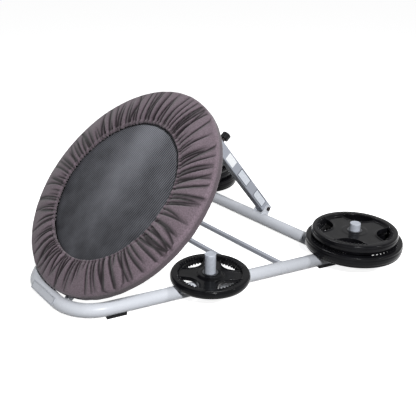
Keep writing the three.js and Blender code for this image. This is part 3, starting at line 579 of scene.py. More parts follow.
@dataclass
class Palette:
    """The materials of the rebounder, made once."""

    silver: Material = made_of(
        PowderCoat("silver_powder_coat", "#cacdd4", "#b9bdc4", roughness=0.27, gloss=0.18)
    )
    grey: Material = made_of(
        PowderCoat("grey_powder_coat", "#a9adb6", "#9a9ea8", roughness=0.36, gloss=0.02)
    )
    bright: Material = made_of(
        PlatedSteel("plated_steel", "#b4b9c3", "#a0a5ae", roughness=0.34, metallic=0.1, gloss=0.25)
    )
    # Painted shade: the hub rings' steel is darkened to stand for the shade they sit in.
    ring: Material = made_of(
        PlatedSteel("dark_bushing_steel", "#4a4b50", "#3a3b3f", roughness=0.3, metallic=0.8, gloss=0.5)
    )
    oxide: Material = made_of(
        OxidisedSteel("black_oxide_steel", "#2a2424", "#191617", roughness=0.38, gloss=0.15)
    )
    spring: Material = made_of(
        PlatedSteel("spring_steel", "#8e9096", "#787a80", roughness=0.34, metallic=1.0)
    )
    plate: Material = made_of(
        MouldedRubber("moulded_plate_rubber", "#0b0b0d", "#131316", roughness=0.13, gloss=0.07)
    )
    foot: Material = made_of(
        MouldedRubber("foot_rubber", "#0d0d0e", "#161618", roughness=0.6, gloss=0.1)
    )
    plastic: Material = made_of(
        MouldedPlastic("black_polypropylene", "#0e0e10", "#16161a", roughness=0.18, gloss=0.2)
    )
    nylon: Material = made_of(
        MouldedPlastic("black_nylon", "#222226", "#2a2a2f", roughness=0.5, gloss=0.15)
    )
    # Its pale colour is the one that the ribs, clouds and a painted sheen reach.
    mat: Material = made_of(
        WovenMat("woven_polypropylene", "#212124", "#989aa2", roughness=0.42, gloss=0.04)
    )
    webbing: Material = made_of(
        Webbing("polyester_webbing", "#101012", "#19191c", roughness=0.85, gloss=0.1)
    )
    cord: Material = made_of(
        BraidedCord("braided_elastic", "#151518", "#26262b", roughness=0.8, gloss=0.1)
    )
    skirt: Material = made_of(
        SkirtCloth("skirt_polyester", "#776973", "#574c52", roughness=0.92, gloss=0.05)
    )
    label: Material = made_of(
        LabelFilm("white_label_film", "#f3f5f7", "#e8ebee", roughness=0.4, gloss=0.3)
    )
    grey_label: Material = made_of(
        LabelFilm("pale_label_film", "#dde1e8", "#c6ccd5", roughness=0.4, gloss=0.3)
    )
    border: Material = made_of(
        LabelFilm("grey_label_edge", "#4a505a", "#3e444d", roughness=0.5, gloss=0.2)
    )
    thread: Material = made_of(
        Webbing("sewing_thread", "#6a5d64", "#584c53", roughness=0.9, gloss=0.1, rib=0.6 * MM)
    )


# Shaping


Profile = Sequence[tuple[float, float]]


def bevel(mesh: Shape, edges: Rim, width: float, segments: int, clamp: bool = False) -> None:
    """Rounds edges.

    Args:
        mesh: The mesh under way.
        edges: The edges.
        width: The bevel's width.
        segments: Its segments.
        clamp: Whether it stops short of neighbouring edges.
    """
    bmesh.ops.bevel(
        mesh,
        geom=edges,
        offset=width,
        offset_type="OFFSET",
        affect="EDGES",
        segments=segments,
        profile=0.5,
        material=-1,
        clamp_overlap=clamp,
    )


def spin_round(mesh: Shape, line: list[Any], steps: int) -> None:
    """Spins a line of vertices and edges a full turn about +Z."""
    bmesh.ops.spin(
        mesh,
        geom=line,
        cent=(0, 0, 0),
        axis=(0, 0, 1),
        angle=FULL_TURN,
        steps=steps,
        use_merge=True,
    )


def polar(radius: float, angle: float, height: float = 0.0) -> Vector:
    """The point at a radius and an angle about +Z."""
    return Vector((radius * math.cos(angle), radius * math.sin(angle), height))


def round_section(radius: float, height: float, half: float, steps: int) -> list[tuple[float, float]]:
    """The section of a ring of round stuff.

    Args:
        radius: The ring's radius, to the middle of its stuff.
        height: Its height.
        half: Half the stuff's thickness.
        steps: Points round the section.

    Returns:
        Points of radius and height.
    """
    angles = [FULL_TURN * step / steps for step in range(steps)]
    return [(radius + half * math.cos(angle), height + half * math.sin(angle)) for angle in angles]


def put(name: str, data: bpy.types.ID) -> bpy.types.Object:
    """Puts an object into the scene, at the origin.

    Args:
        name: The object's name.
        data: Its mesh, curve, lamp or camera.

    Returns:
        The object.
    """
    made = bpy.data.objects.new(name, data)
    bpy.context.scene.collection.objects.link(made)
    return made


def modify(made: bpy.types.Object, name: str, kind: str, **settings: Any) -> None:
    """Gives an object a modifier.

    Args:
        made: The object.
        name: The modifier's name.
        kind: Its type.
        **settings: Its settings.
    """
    added = made.modifiers.new(name, kind)
    for setting, value in settings.items():
        setattr(added, setting, value)


class Workpiece:
    """A mesh under way, shaped with Blender's mesh operators."""

    def __init__(self, name: str) -> None:
        """Starts an empty piece.

        Args:
            name: The name of the object that it becomes.
        """
        self.name = name
        self.mesh = bmesh.new()

    def turn_up(self, profile: Profile, steps: int, place: Matrix | None = None) -> Workpiece:
        """Spins a profile about +Z.

        Args:
            profile: Points of radius and height, from one end to the other.
            steps: Steps of the full turn.
            place: Where the turned shape goes.

        Returns:
            The same piece.
        """
        fresh = bmesh.new()
        corners = [fresh.verts.new((radius, 0.0, height)) for radius, height in profile]
        edges = [fresh.edges.new(pair) for pair in zip(corners, corners[1:])]
        if min(radius for radius, _ in profile) > 0:
            edges.append(fresh.edges.new((corners[-1], corners[0])))
        spin_round(fresh, corners + edges, steps)
        bmesh.ops.remove_doubles(fresh, verts=fresh.verts, dist=SAME_PLACE)
        bmesh.ops.recalc_face_normals(fresh, faces=fresh.faces)
        return self.take(fresh, place)

    def take(self, fresh: Shape, place: Matrix | None = None) -> Workpiece:
        """Moves a finished shape into the piece.

        Args:
            fresh: The shape, which is used up.
            place: Where it goes.

        Returns:
            The same piece.
        """
        if place is not None:
            bmesh.ops.transform(fresh, matrix=place, verts=fresh.verts)
        store = bpy.data.meshes.new("shape")
        fresh.to_mesh(store)
        fresh.free()
        self.mesh.from_mesh(store)
        bpy.data.meshes.remove(store)
        return self

    def soften(self, width: float, segments: int = 2, angle: float = 35.0) -> Workpiece:
        """Rounds every edge that is sharper than an angle.

        Args:
            width: The bevel's width.
            segments: Its segments.
            angle: The least angle between two faces, in degrees.

        Returns:
            The same piece.
        """
        limit = math.radians(angle)
        sharp = [e for e in self.mesh.edges if len(e.link_faces) == 2 and e.calc_face_angle(0.0) > limit]
        bevel(self.mesh, sharp, width, segments, clamp=True)
        return self

    def finish(
        self,
        material: Material,
        body: str,
        slot: str,
        replaces: Iterable[str] = (),
        smooth: float = 40.0,
        place: Matrix | None = None,
        flats: bool = False,
    ) -> bpy.types.Object:
        """Turns the piece into an object that rides on a body.

        Args:
            material: Its material.
            body: The body that it rides on.
            slot: The record's material slot; not used.
            replaces: The nodes that it stands for.
            smooth: The angle below which faces shade as one, in degrees.
            place: Where the whole piece goes.
            flats: Whether its large faces shade flat and only its rounded edges turn the light.

        Returns:
            The object.
        """
        if place is not None:
            bmesh.ops.transform(self.mesh, matrix=place, verts=self.mesh.verts)
        made = deliver(self.name, self.settled(), material, body, replaces, smooth)
        if flats:
            modify(made, "flats", "WEIGHTED_NORMAL", keep_sharp=True)
        return made

    def settled(self) -> bpy.types.Mesh:
        """Ends the work on the piece.

        Returns:
            Its mesh.
        """
        data = bpy.data.meshes.new(self.name)
        self.mesh.to_mesh(data)
        self.mesh.free()
        return data

    def rough(self) -> bpy.types.Object:
        """Turns the piece into an object for Blender's modifiers, which rides on nothing."""
        return put(self.name, self.settled())


def deliver(
    name: str,
    data: bpy.types.Mesh,
    material: Material,
    body: str,
    replaces: Iterable[str] = (),
    smooth: float = 40.0,
) -> bpy.types.Object:
    """Makes an object of a mesh and lets it ride on a body.

    Args:
        name: The object's name.
        data: Its mesh.
        material: Its material.
        body: The body that it rides on.
        replaces: The nodes that it stands for.
        smooth: The angle below which faces shade as one, in degrees.

    Returns:
        The object.
    """
    data.materials.clear()
    data.materials.append(material)
    for polygon in data.polygons:
        polygon.use_smooth = True
        polygon.material_index = 0
    data.set_sharp_from_angle(angle=math.radians(smooth))
    return attach(put(name, data), body, replaces)


def attach(made: bpy.types.Object, body: str, replaces: Iterable[str]) -> bpy.types.Object:
    """Lets an object ride on a body and reports it.

    Args:
        made: The object.
        body: The body that it rides on.
        replaces: The nodes that it stands for.

    Returns:
        The object.
    """
    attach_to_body(made, body)
    names = list(replaces)
    if names:
        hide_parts(*names)
    log.info("%s: %d faces on %s", made.name, len(made.data.polygons), body)
    return made


def copy_of(node: bpy.types.Object, name: str) -> Workpiece:
    """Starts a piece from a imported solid, with its triangles joined and its flat faces whole.

    Args:
        node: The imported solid's object.
        name: The new piece's name.

    Returns:
        The piece.
    """
    piece = Workpiece(name)
    piece.mesh.from_mesh(node.data)
    bmesh.ops.remove_doubles(piece.mesh, verts=piece.mesh.verts, dist=0.02 * MM)
    bmesh.ops.dissolve_limit(
        piece.mesh,
        angle_limit=math.radians(1.0),
        use_dissolve_boundaries=False,
        verts=piece.mesh.verts,
        edges=piece.mesh.edges,
        delimit={"NORMAL"},
    )
    return piece


def along(
    name: str,
    points: Sequence[Vector],
    radius: float,
    closed: bool = False,
    sides: int = 12,
    smooth_line: bool = True,
) -> bpy.types.Mesh:
    """Makes a round rope or bead along a line of points.

    Args:
        name: The mesh's name.
        points: The line's points.
        radius: The rope's radius.
        closed: Whether the line closes.
        sides: Facets round the rope.
        smooth_line: Whether the line is rounded between its points.

    Returns:
        The mesh.
    """
    curve = bpy.data.curves.new(name, "CURVE")
    curve.dimensions = "3D"
    curve.bevel_depth = radius
    curve.bevel_resolution = max(0, sides // 4 - 1)
    curve.use_fill_caps = not closed
    spline = curve.splines.new("NURBS" if smooth_line else "POLY")
    spline.points.add(len(points) - 1)
    for point, place in zip(spline.points, points):
        point.co = (*place, 1.0)
    spline.use_cyclic_u = closed
    if smooth_line:
        spline.order_u = 3
        spline.use_endpoint_u = not closed
        spline.resolution_u = 3
    carrier = put(name, curve)
    bpy.context.view_layer.update()
    graph = bpy.context.evaluated_depsgraph_get()
    data = bpy.data.meshes.new_from_object(carrier.evaluated_get(graph))
    bpy.data.objects.remove(carrier)
    bpy.data.curves.remove(curve)
    return data


def middle(node: str) -> Vector:
    """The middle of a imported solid's box.

    Args:
        node: The solid's name.

    Returns:
        The middle, in metres.
    """
    low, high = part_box(node)
    return (low + high) / 2


def frame_of(origin: Vector, x: Vector, y: Vector, z: Vector) -> Matrix:
    """A frame with its origin and its three axes.

    Args:
        origin: Where the frame's origin is.
        x: Its X axis.
        y: Its Y axis.
        z: Its Z axis.

    Returns:
        The matrix from that frame to the model's.
    """
    turn = Matrix((x, y, z)).transposed().to_4x4()
    return Matrix.Translation(origin) @ turn


def rounded_box(width: float, depth: float, height: float, corner: float) -> Shape:
    """A box about the origin with its upright edges rounded.

    Args:
        width: Size along X.
        depth: Size along Y.
        height: Size along Z.
        corner: Radius of the upright edges.

    Returns:
        The shape.
    """
    fresh = bmesh.new()
    bmesh.ops.create_cube(fresh, size=1.0, matrix=Matrix.Diagonal((width, depth, height, 1.0)))
    upright = [e for e in fresh.edges if abs((e.verts[0].co - e.verts[1].co).z) > height / 2]
    bevel(fresh, upright, corner, 4)
    return fresh


@dataclass
class Assembly:
    """A sub-assembly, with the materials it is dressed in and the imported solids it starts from."""

    palette: Palette
    nodes: dict[str, bpy.types.Object]

    def painted(self, node: str, name: str, body: str, edge: float = 0.8 * MM) -> None:
        """Rounds a pressed bracket or plate and paints it silver.

        Args:
            node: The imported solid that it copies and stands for.
            name: The piece's name.
            body: The body that it rides on.
            edge: The rounding of its edges.
        """
        piece = copy_of(self.nodes[node], name).soften(edge, 2, 50)
        piece.finish(self.palette.silver, body, "silver_powder_coat", [node], flats=True)


# Base


@dataclass
class Base(Assembly):
    """The U-shaped base: bent tube, cross members, caps, feet, face plate, pegs and brackets."""

    tube_radius: float = 30 * MM
    tube_wall: float = 2.5 * MM
    tube_sides: int = 56
    corner_half_width: float = 211 * MM
    leg_splay: float = math.radians(15.1)
    bend_radius: float = 185 * MM
    bend_steps: int = 22
    leg_length: float = 1388 * MM
    bar_size: float = 20 * MM
    bar_corner: float = 2.5 * MM
    tube_inset: float = 0.4
    bar_inset: float = 0.5
    weld: float = 2.6 * MM
    weld_points: int = 72
    weld_waver: float = 0.2
    cap_flange: float = 5 * MM
    cap_rounding: float = 4 * MM
    cap_depth: float = 20 * MM
    peg_radius: float = 24.15 * MM
    peg_recess: float = 1.2 * MM
    peg_sides: int = 64
    foot_rounding: float = 1.5 * MM
    plate_size: Triple = (190 * MM, 37 * MM, 2 * MM)
    plate_lean: float = math.radians(36)
    line_radius: float = 0.6 * MM

    @property
    def front(self) -> Vector:
        """The middle of the front bar's axis."""
        low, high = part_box("base_tube")
        return Vector((0.0, low.y + self.tube_radius, (low.z + high.z) / 2))

    def build(self) -> None:
        """Builds the whole base."""
        self.bent_tube()
        self.rear_tube()
        self.cross_bars()
        for side in Side:
            self.leg_cap(side)
            for end in End:
                self.foot(end, side)
                self.peg(end, side)
        self.face_plate()
        self.brackets()

    def bent_tube(self) -> None:
        """Bends one tube into right leg, front bar and left leg."""
        piece = Workpiece("bent_base_tube")
        turn = math.pi / 2 - self.leg_splay
        taken = self.bend_radius * math.tan(turn / 2)
        start, straight = self.corner_half_width - taken, self.leg_length - taken
        ring = bmesh.ops.create_circle(
            piece.mesh,
            cap_ends=False,
            segments=self.tube_sides,
            radius=self.tube_radius,
            matrix=self.leg_end(Side.RIGHT),
        )
        rim = list({edge for vert in ring["verts"] for edge in vert.link_edges})
        rim = self.push(piece, rim, -self.leg_way(Side.RIGHT) * straight)
        rim = self.bend(piece, rim, self.front + Vector((start, self.bend_radius, 0.0)), -turn)
        rim = self.push(piece, rim, Vector((-2 * start, 0.0, 0.0)))
        rim = self.bend(piece, rim, self.front + Vector((-start, self.bend_radius, 0.0)), -turn)
        self.push(piece, rim, self.leg_way(Side.LEFT) * straight)
        bmesh.ops.recalc_face_normals(piece.mesh, faces=piece.mesh.faces)
        tube = piece.finish(self.palette.silver, "base", "silver_powder_coat", ["base_tube"])
        modify(tube, "wall", "SOLIDIFY", thickness=self.tube_wall, offset=-1.0)

    def leg_way(self, side: Side) -> Vector:
        """The way that a leg runs back from the front bar."""
        return Vector((side.value * math.sin(self.leg_splay), math.cos(self.leg_splay), 0.0))

    def leg_end(self, side: Side) -> Matrix:
        """The frame of a leg's open end, +Z out of the tube.

        Args:
            side: The leg's side.

        Returns:
            The matrix from that frame to the model's.
        """
        leg = self.leg_way(side)
        end = self.front + Vector((side.value * self.corner_half_width, 0.0, 0.0)) + leg * self.leg_length
        return Matrix.Translation(end) @ leg.to_track_quat("Z", "Y").to_matrix().to_4x4()

    def push(self, piece: Workpiece, rim: Rim, way: Vector) -> Rim:
        """Draws a rim out straight.

        Args:
            piece: The piece under way.
            rim: The rim's edges.
            way: How far and which way.

        Returns:
            The new rim.
        """
        drawn = bmesh.ops.extrude_edge_only(piece.mesh, edges=rim)["geom"]
        verts = [item for item in drawn if isinstance(item, bmesh.types.BMVert)]
        bmesh.ops.translate(piece.mesh, vec=way, verts=verts)
        return [item for item in drawn if isinstance(item, bmesh.types.BMEdge)]

    def bend(self, piece: Workpiece, rim: Rim, centre: Vector, turn: float) -> Rim:
        """Draws a rim round an upright axis.

        Args:
            piece: The piece under way.
            rim: The rim's edges.
            centre: A point on the axis.
            turn: The angle in radians.

        Returns:
            The new rim.
        """
        spun = bmesh.ops.spin(
            piece.mesh,
            geom=rim,
            cent=centre,
            axis=(0, 0, 1),
            angle=turn,
            steps=self.bend_steps,
            use_merge=False,
        )["geom_last"]
        return [item for item in spun if isinstance(item, bmesh.types.BMEdge)]

    def half_width(self, y: float) -> float:
        """Half the distance between the legs' axes.

        Args:
            y: The place along Y.

        Returns:
            The distance from the middle to a leg's axis.
        """
        return self.corner_half_width + (y - self.front.y) * math.tan(self.leg_splay)

    def rear_tube(self) -> None:
        """Draws the rear cross tube into the legs, with a weld at each end."""
        place = middle("rear_cross_tube")
        reach = self.half_width(place.y) - self.tube_inset * self.tube_radius
        piece = Workpiece("rear_tube")
        profile = [(self.tube_radius, -reach), (self.tube_radius, reach)]
        inner = self.tube_radius - self.tube_wall
        profile += [(inner, reach), (inner, -reach)]
        across = Matrix.Translation(place) @ Matrix.Rotation(math.pi / 2, 4, "Y")
        piece.turn_up(profile, self.tube_sides, across)
        piece.finish(self.palette.silver, "base", "silver_powder_coat", ["rear_cross_tube"])
        for side in Side:
            self.weld_bead(f"rear_tube_{side.label}_weld", side, place, self.round_outline(self.tube_radius))

    def round_outline(self, radius: float) -> Outline:
        """The outline of a round tube, as a function of a share of the way round."""
        return lambda share: (radius * math.cos(FULL_TURN * share), radius * math.sin(FULL_TURN * share))

    def square_outline(self, half: float) -> Outline:
        """The outline of a square tube with cut corners.

        Args:
            half: Half its width.

        Returns:
            A function of a share of the way round.
        """

        def outline(share: float) -> tuple[float, float]:
            """The point of the outline at a share of the way round.

            Args:
                share: The share, from 0 to 1.

            Returns:
                The point.
            """
            angle = FULL_TURN * share
            x, y = math.cos(angle), math.sin(angle)
            reach = half / max(abs(x), abs(y))
            return x * min(reach, 1.3 * half), y * min(reach, 1.3 * half)

        return outline

    def weld_bead(self, name: str, side: Side, place: Vector, section: Outline) -> None:
        """Lays a weld where a cross member meets a leg.

        Args:
            name: The bead's name.
            side: The leg's side.
            place: The middle of the cross member.
            section: Its outline as (y, z).
        """
        dice = random.Random(name)
        points = []
        for index in range(self.weld_points):
            y, z = section(index / self.weld_points)
            depth = math.sqrt(max(self.tube_radius**2 - z**2, 0.0)) / math.cos(self.leg_splay)
            x = self.half_width(place.y + y) - depth
            waver = Vector((0, 0, dice.uniform(-self.weld_waver, self.weld_waver) * MM))
            points.append(Vector((side.value * x, place.y + y, place.z + z)) + waver)
        data = along(name, points, self.weld, closed=True, sides=8)
        deliver(name, data, self.palette.silver, "base", smooth=80)

    def cross_bars(self) -> None:
        """Draws the two square bars between the legs."""
        for end in End:
            node = end.value + "_cross_bar"
            centre = middle(node)
            length = 2 * (self.half_width(centre.y) - self.bar_inset * self.tube_radius)
            box = rounded_box(self.bar_size, self.bar_size, length, self.bar_corner)
            across = Matrix.Translation(centre) @ Matrix.Rotation(math.pi / 2, 4, "Y")
            piece = Workpiece(end.value + "_bar").take(box, across)
            piece.finish(self.palette.grey, "base", "grey_powder_coat", [node], flats=True)
            for side in Side:
                bead = self.square_outline(self.bar_size / 2)
                self.weld_bead(f"{end.value}_bar_{side.label}_weld", side, centre, bead)

    def leg_cap(self, side: Side) -> None:
        """Turns the plug that closes a leg.

        Args:
            side: The leg's side.
        """
        radius, flange, corner = self.tube_radius, self.cap_flange, self.cap_rounding
        plug = radius - self.tube_wall - 0.4 * MM
        profile = [(0.0, flange), (radius - corner, flange)]
        for step in range(1, 7):
            angle = step * math.pi / 12
            reach = radius - corner + corner * math.sin(angle)
            profile.append((reach, flange - corner * (1 - math.cos(angle))))
        profile += [(radius, 0.3 * MM), (plug, 0.3 * MM), (plug, -self.cap_depth), (0.0, -self.cap_depth)]
        piece = Workpiece(side.label + "_leg_plug").turn_up(profile, self.tube_sides, self.leg_end(side))
        piece.finish(self.palette.plastic, "base", "black_plastic", [side.label + "_leg_cap"])

    def foot(self, end: End, side: Side) -> None:
        """Rounds a rubber foot.

        Args:
            end: The leg's end.
            side: The leg's side.
        """
        node = f"{end.value}_{side.label}_foot"
        piece = copy_of(self.nodes[node], node + "_pad").soften(self.foot_rounding, 3)
        piece.finish(self.palette.foot, "base", "foot_rubber", [node], flats=True)

    def peg(self, end: End, side: Side) -> None:
        """Turns a plate peg with a shallow dish in its top, and its weld.

        Args:
            end: The leg's end.
            side: The leg's side.
        """
        node = f"{end.value}_{side.label}_peg"
        low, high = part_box(node)
        foot = Vector(((low.x + high.x) / 2, (low.y + high.y) / 2, self.front.z))
        top, radius = high.z - foot.z, self.peg_radius
        profile = [
            (0.0, top - self.peg_recess),
            (radius - 5.5 * MM, top - self.peg_recess),
            (radius - 4.5 * MM, top - 0.3 * MM),
            (radius - 3.8 * MM, top),
            (radius - 2 * MM, top),
            (radius - 0.8 * MM, top - 0.5 * MM),
            (radius, top - 1.8 * MM),
            (radius, top - 5.2 * MM),
            (radius - 0.35 * MM, top - 5.6 * MM),
            (radius, top - 6.0 * MM),
            (radius, 0.5 * self.tube_radius),
            (0.0, 0.5 * self.tube_radius),
        ]
        piece = Workpiece(node + "_post").turn_up(profile, self.peg_sides, Matrix.Translation(foot))
        piece.finish(self.palette.bright, "base", "bright_steel", [node], smooth=30)
        points = []
        for index in range(self.peg_sides):
            angle = FULL_TURN * index / self.peg_sides
            x, y = radius * math.cos(angle), radius * math.sin(angle)
            aside = x * math.cos(self.leg_splay) - side.value * y * math.sin(self.leg_splay)
            points.append(foot + Vector((x, y, math.sqrt(self.tube_radius**2 - aside**2))))
        data = along(node + "_weld", points, self.weld, closed=True, sides=8)
        deliver(node + "_weld", data, self.palette.silver, "base", smooth=80)

    def face_plate(self) -> None:
        """Rounds the bare plate on the front bar and lays two thin frame lines on it."""
        node = "front_face_plate"
        self.painted(node, "bare_face_plate", "base", 0.5 * MM)
        length, width, thick = self.plate_size
        turn = Matrix.Rotation(math.pi / 2 - self.plate_lean, 4, "X")
        face = Matrix.Translation(middle(node)) @ turn @ Matrix.Translation((0.0, 0.0, thick / 2))
        for name, inset in (("face_plate_edge_line", 1.5 * MM), ("face_plate_inner_line", 5 * MM)):
            half_x, half_y = length / 2 - inset, width / 2 - inset
            signs = ((1, 1), (-1, 1), (-1, -1), (1, -1))
            points = [face @ Vector((x * half_x, y * half_y, 0.0)) for x, y in signs]
            data = along(name, points, self.line_radius, closed=True, sides=8, smooth_line=False)
            deliver(name, data, self.palette.border, "base", smooth=30)

    def brackets(self) -> None:
        """Rounds the brackets of the hinge and the strut's foot, and makes their fasteners."""
        fasteners = Fasteners(self.palette)
        for side in Side:
            self.painted(side.label + "_hinge_bracket", side.label + "_hinge_saddle", "base")
            fasteners.pivot(side.label + "_hinge", "base", side)
        self.painted("strut_foot_bracket", "strut_foot_saddle", "base", 1.0 * MM)
        fasteners.pivot("strut_foot", "base", Side.RIGHT)


@dataclass
class Fasteners:
    """Bolts, nuts and bushes, which all lie along X."""

    palette: Palette
    bolt_radius: float = 6 * MM
    head_across: float = 19 * MM
    head_height: float = 8 * MM
    nut_height: float = 10 * MM
    chamfer: float = 0.8 * MM
    bush_play: float = 0.2 * MM
    thread_pitch: float = 1.75 * MM
    thread_depth: float = 0.6 * MM

    def pivot(self, name: str, body: str, side: Side) -> None:
        """Makes the bolt, nut and bush of one pivot.

        Args:
            name: The pivot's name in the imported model.
            body: The body that they ride on.
            side: The side that the bolt's head is on.
        """
        way = side.value
        low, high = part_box(name + "_bolt")
        centre = middle(name + "_bush")
        head = high.x - centre.x if way > 0 else centre.x - low.x
        tail = centre.x - low.x if way > 0 else high.x - centre.x
        turn = Matrix.Rotation(way * math.pi / 2, 4, "Y")
        place = Matrix.Translation(centre) @ turn
        self.bolt(name, body, place, head, tail)
        low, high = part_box(name + "_nut")
        self.nut(name, body, place, min(abs(low.x - centre.x), abs(high.x - centre.x)))
        low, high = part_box(name + "_bush")
        outer, half, bore = (high.z - low.z) / 2, (high.x - low.x) / 2, self.bolt_radius + self.bush_play
        profile = [(bore, -half), (outer, -half), (outer, half), (bore, half)]
        spacer = Workpiece(name + "_spacer").turn_up(profile, 32, place).soften(0.3 * MM, 1, 60)
        spacer.finish(self.palette.nylon, body, "nylon", [name + "_bush"])

    def hexagon(self, across: float, height: float) -> Shape:
        """A hexagonal prism on the origin with its upper corners turned off.

        Args:
            across: The distance across its flats.
            height: Its height.

        Returns:
            The shape.
        """
        fresh = bmesh.new()
        radius = across / 2 / math.cos(math.pi / 6)
        bmesh.ops.create_cone(
            fresh,
            cap_ends=True,
            segments=6,
            radius1=radius,
            radius2=radius,
            depth=height,
            matrix=Matrix.Translation((0, 0, height / 2)),
        )
        bevel(fresh, [e for e in fresh.edges if min(v.co.z for v in e.verts) > height / 2], self.chamfer, 2)
        return fresh

    def bolt(self, name: str, body: str, place: Matrix, head: float, tail: float) -> None:
        """Makes a hexagon bolt.

        Args:
            name: The pivot's name.
            body: The body that it rides on.
            place: The pivot's frame, +Z towards the head.
            head: How far the head's top is from the middle.
            tail: How far the shank's end is from the middle.
        """
        piece = Workpiece(name + "_hex_bolt")
        seat = head - self.head_height
        piece.take(self.hexagon(self.head_across, self.head_height), Matrix.Translation((0, 0, seat)))
        radius = self.bolt_radius
        profile = [(0.0, seat + 0.2 * MM), (radius, seat + 0.2 * MM)]
        thread = -seat
        while thread > -tail + 2 * MM:
            profile += [(radius, thread), (radius - self.thread_depth, thread - 0.9 * MM)]
            thread -= self.thread_pitch
        profile += [(radius - 1.2 * MM, -tail), (0.0, -tail)]
        piece.turn_up(profile, 24)
        piece.finish(self.palette.oxide, body, "black_steel", [name + "_bolt"], place=place)

    def nut(self, name: str, body: str, place: Matrix, start: float) -> None:
        """Makes a nut with a locking collar.

        Args:
            name: The pivot's name.
            body: The body that it rides on.
            place: The pivot's frame, +Z away from the nut.
            start: How far the nut's seat is from the middle.
        """
        piece = Workpiece(name + "_lock_nut")
        flip = Matrix.Translation((0, 0, -start)) @ Matrix.Rotation(math.pi, 4, "X")
        piece.take(self.hexagon(self.head_across, 0.72 * self.nut_height), flip)
        outer, height = 0.43 * self.head_across, self.nut_height
        bore = self.bolt_radius + 0.1 * MM
        profile = [
            (bore, 0.6 * height),
            (outer, 0.6 * height),
            (outer, 0.9 * height),
            (outer - 1 * MM, height),
            (bore, height),
        ]
        piece.turn_up(profile, 32, flip)
        piece.finish(self.palette.oxide, body, "black_steel", [name + "_nut"], place=place)


# Deck


def turned_back(angle: float) -> float:
    """An angle taken to between half a turn back and half a turn on."""
    return (angle + math.pi) % FULL_TURN - math.pi


def noise_round(angle: float, reach: float, level: float) -> float:
    """A smooth noise that closes on itself round the deck; it changes faster with more reach."""
    return noise.noise(Vector((math.cos(angle) * reach, math.sin(angle) * reach, level)))


@dataclass
class Crease:
    """One pinched fold of the gathered skirt: a sharp valley with a round ridge on either side."""

    angle: float
    reach: float
    depth: float
    left: float
    right: float
    skew: float
    bow: float

    def line(self, share: float) -> float:
        """Where the valley is at a share of the front, as an angle."""
        return self.angle + self.skew * share + self.bow * share * share

    def depth_at(self, share: float) -> float:
        """How deep the valley is at a share of the front.

        Args:
            share: The share, 0 at the elastic edge and 1 at the shoulder.

        Returns:
            The depth in metres.
        """
        along_it = share / self.reach
        if along_it >= 1.0:
            return 0.0
        start = min(1.0, 0.35 + 6.0 * share)
        return self.depth * start * (1.0 - along_it**2)

    def valley(self, across: float, radius: float) -> float:
        """The valley's shape, 1 at its bottom and 0 where the ridges are highest.

        Args:
            across: The distance from the valley, in metres.
            radius: The radius that it is seen at.

        Returns:
            The share of the depth.
        """
        near = self.nearness(across, radius)
        return 1.0 - math.sqrt(1.0 - near * near)

    def across(self, angle: float, share: float, radius: float) -> float:
        """The distance of a point from the valley, in metres and negative on its left."""
        return turned_back(angle - self.line(share)) * radius

    def nearness(self, across: float, radius: float) -> float:
        """How near a point is to the valley; the ridge is closer on one side of it.

        Args:
            across: The distance from the valley, in metres.
            radius: The radius that it is seen at.

        Returns:
            1 at the valley's bottom, 0 on its ridges and outside them.
        """
        side = self.right if across > 0 else self.left
        return max(0.0, 1.0 - abs(across) / (side * radius))


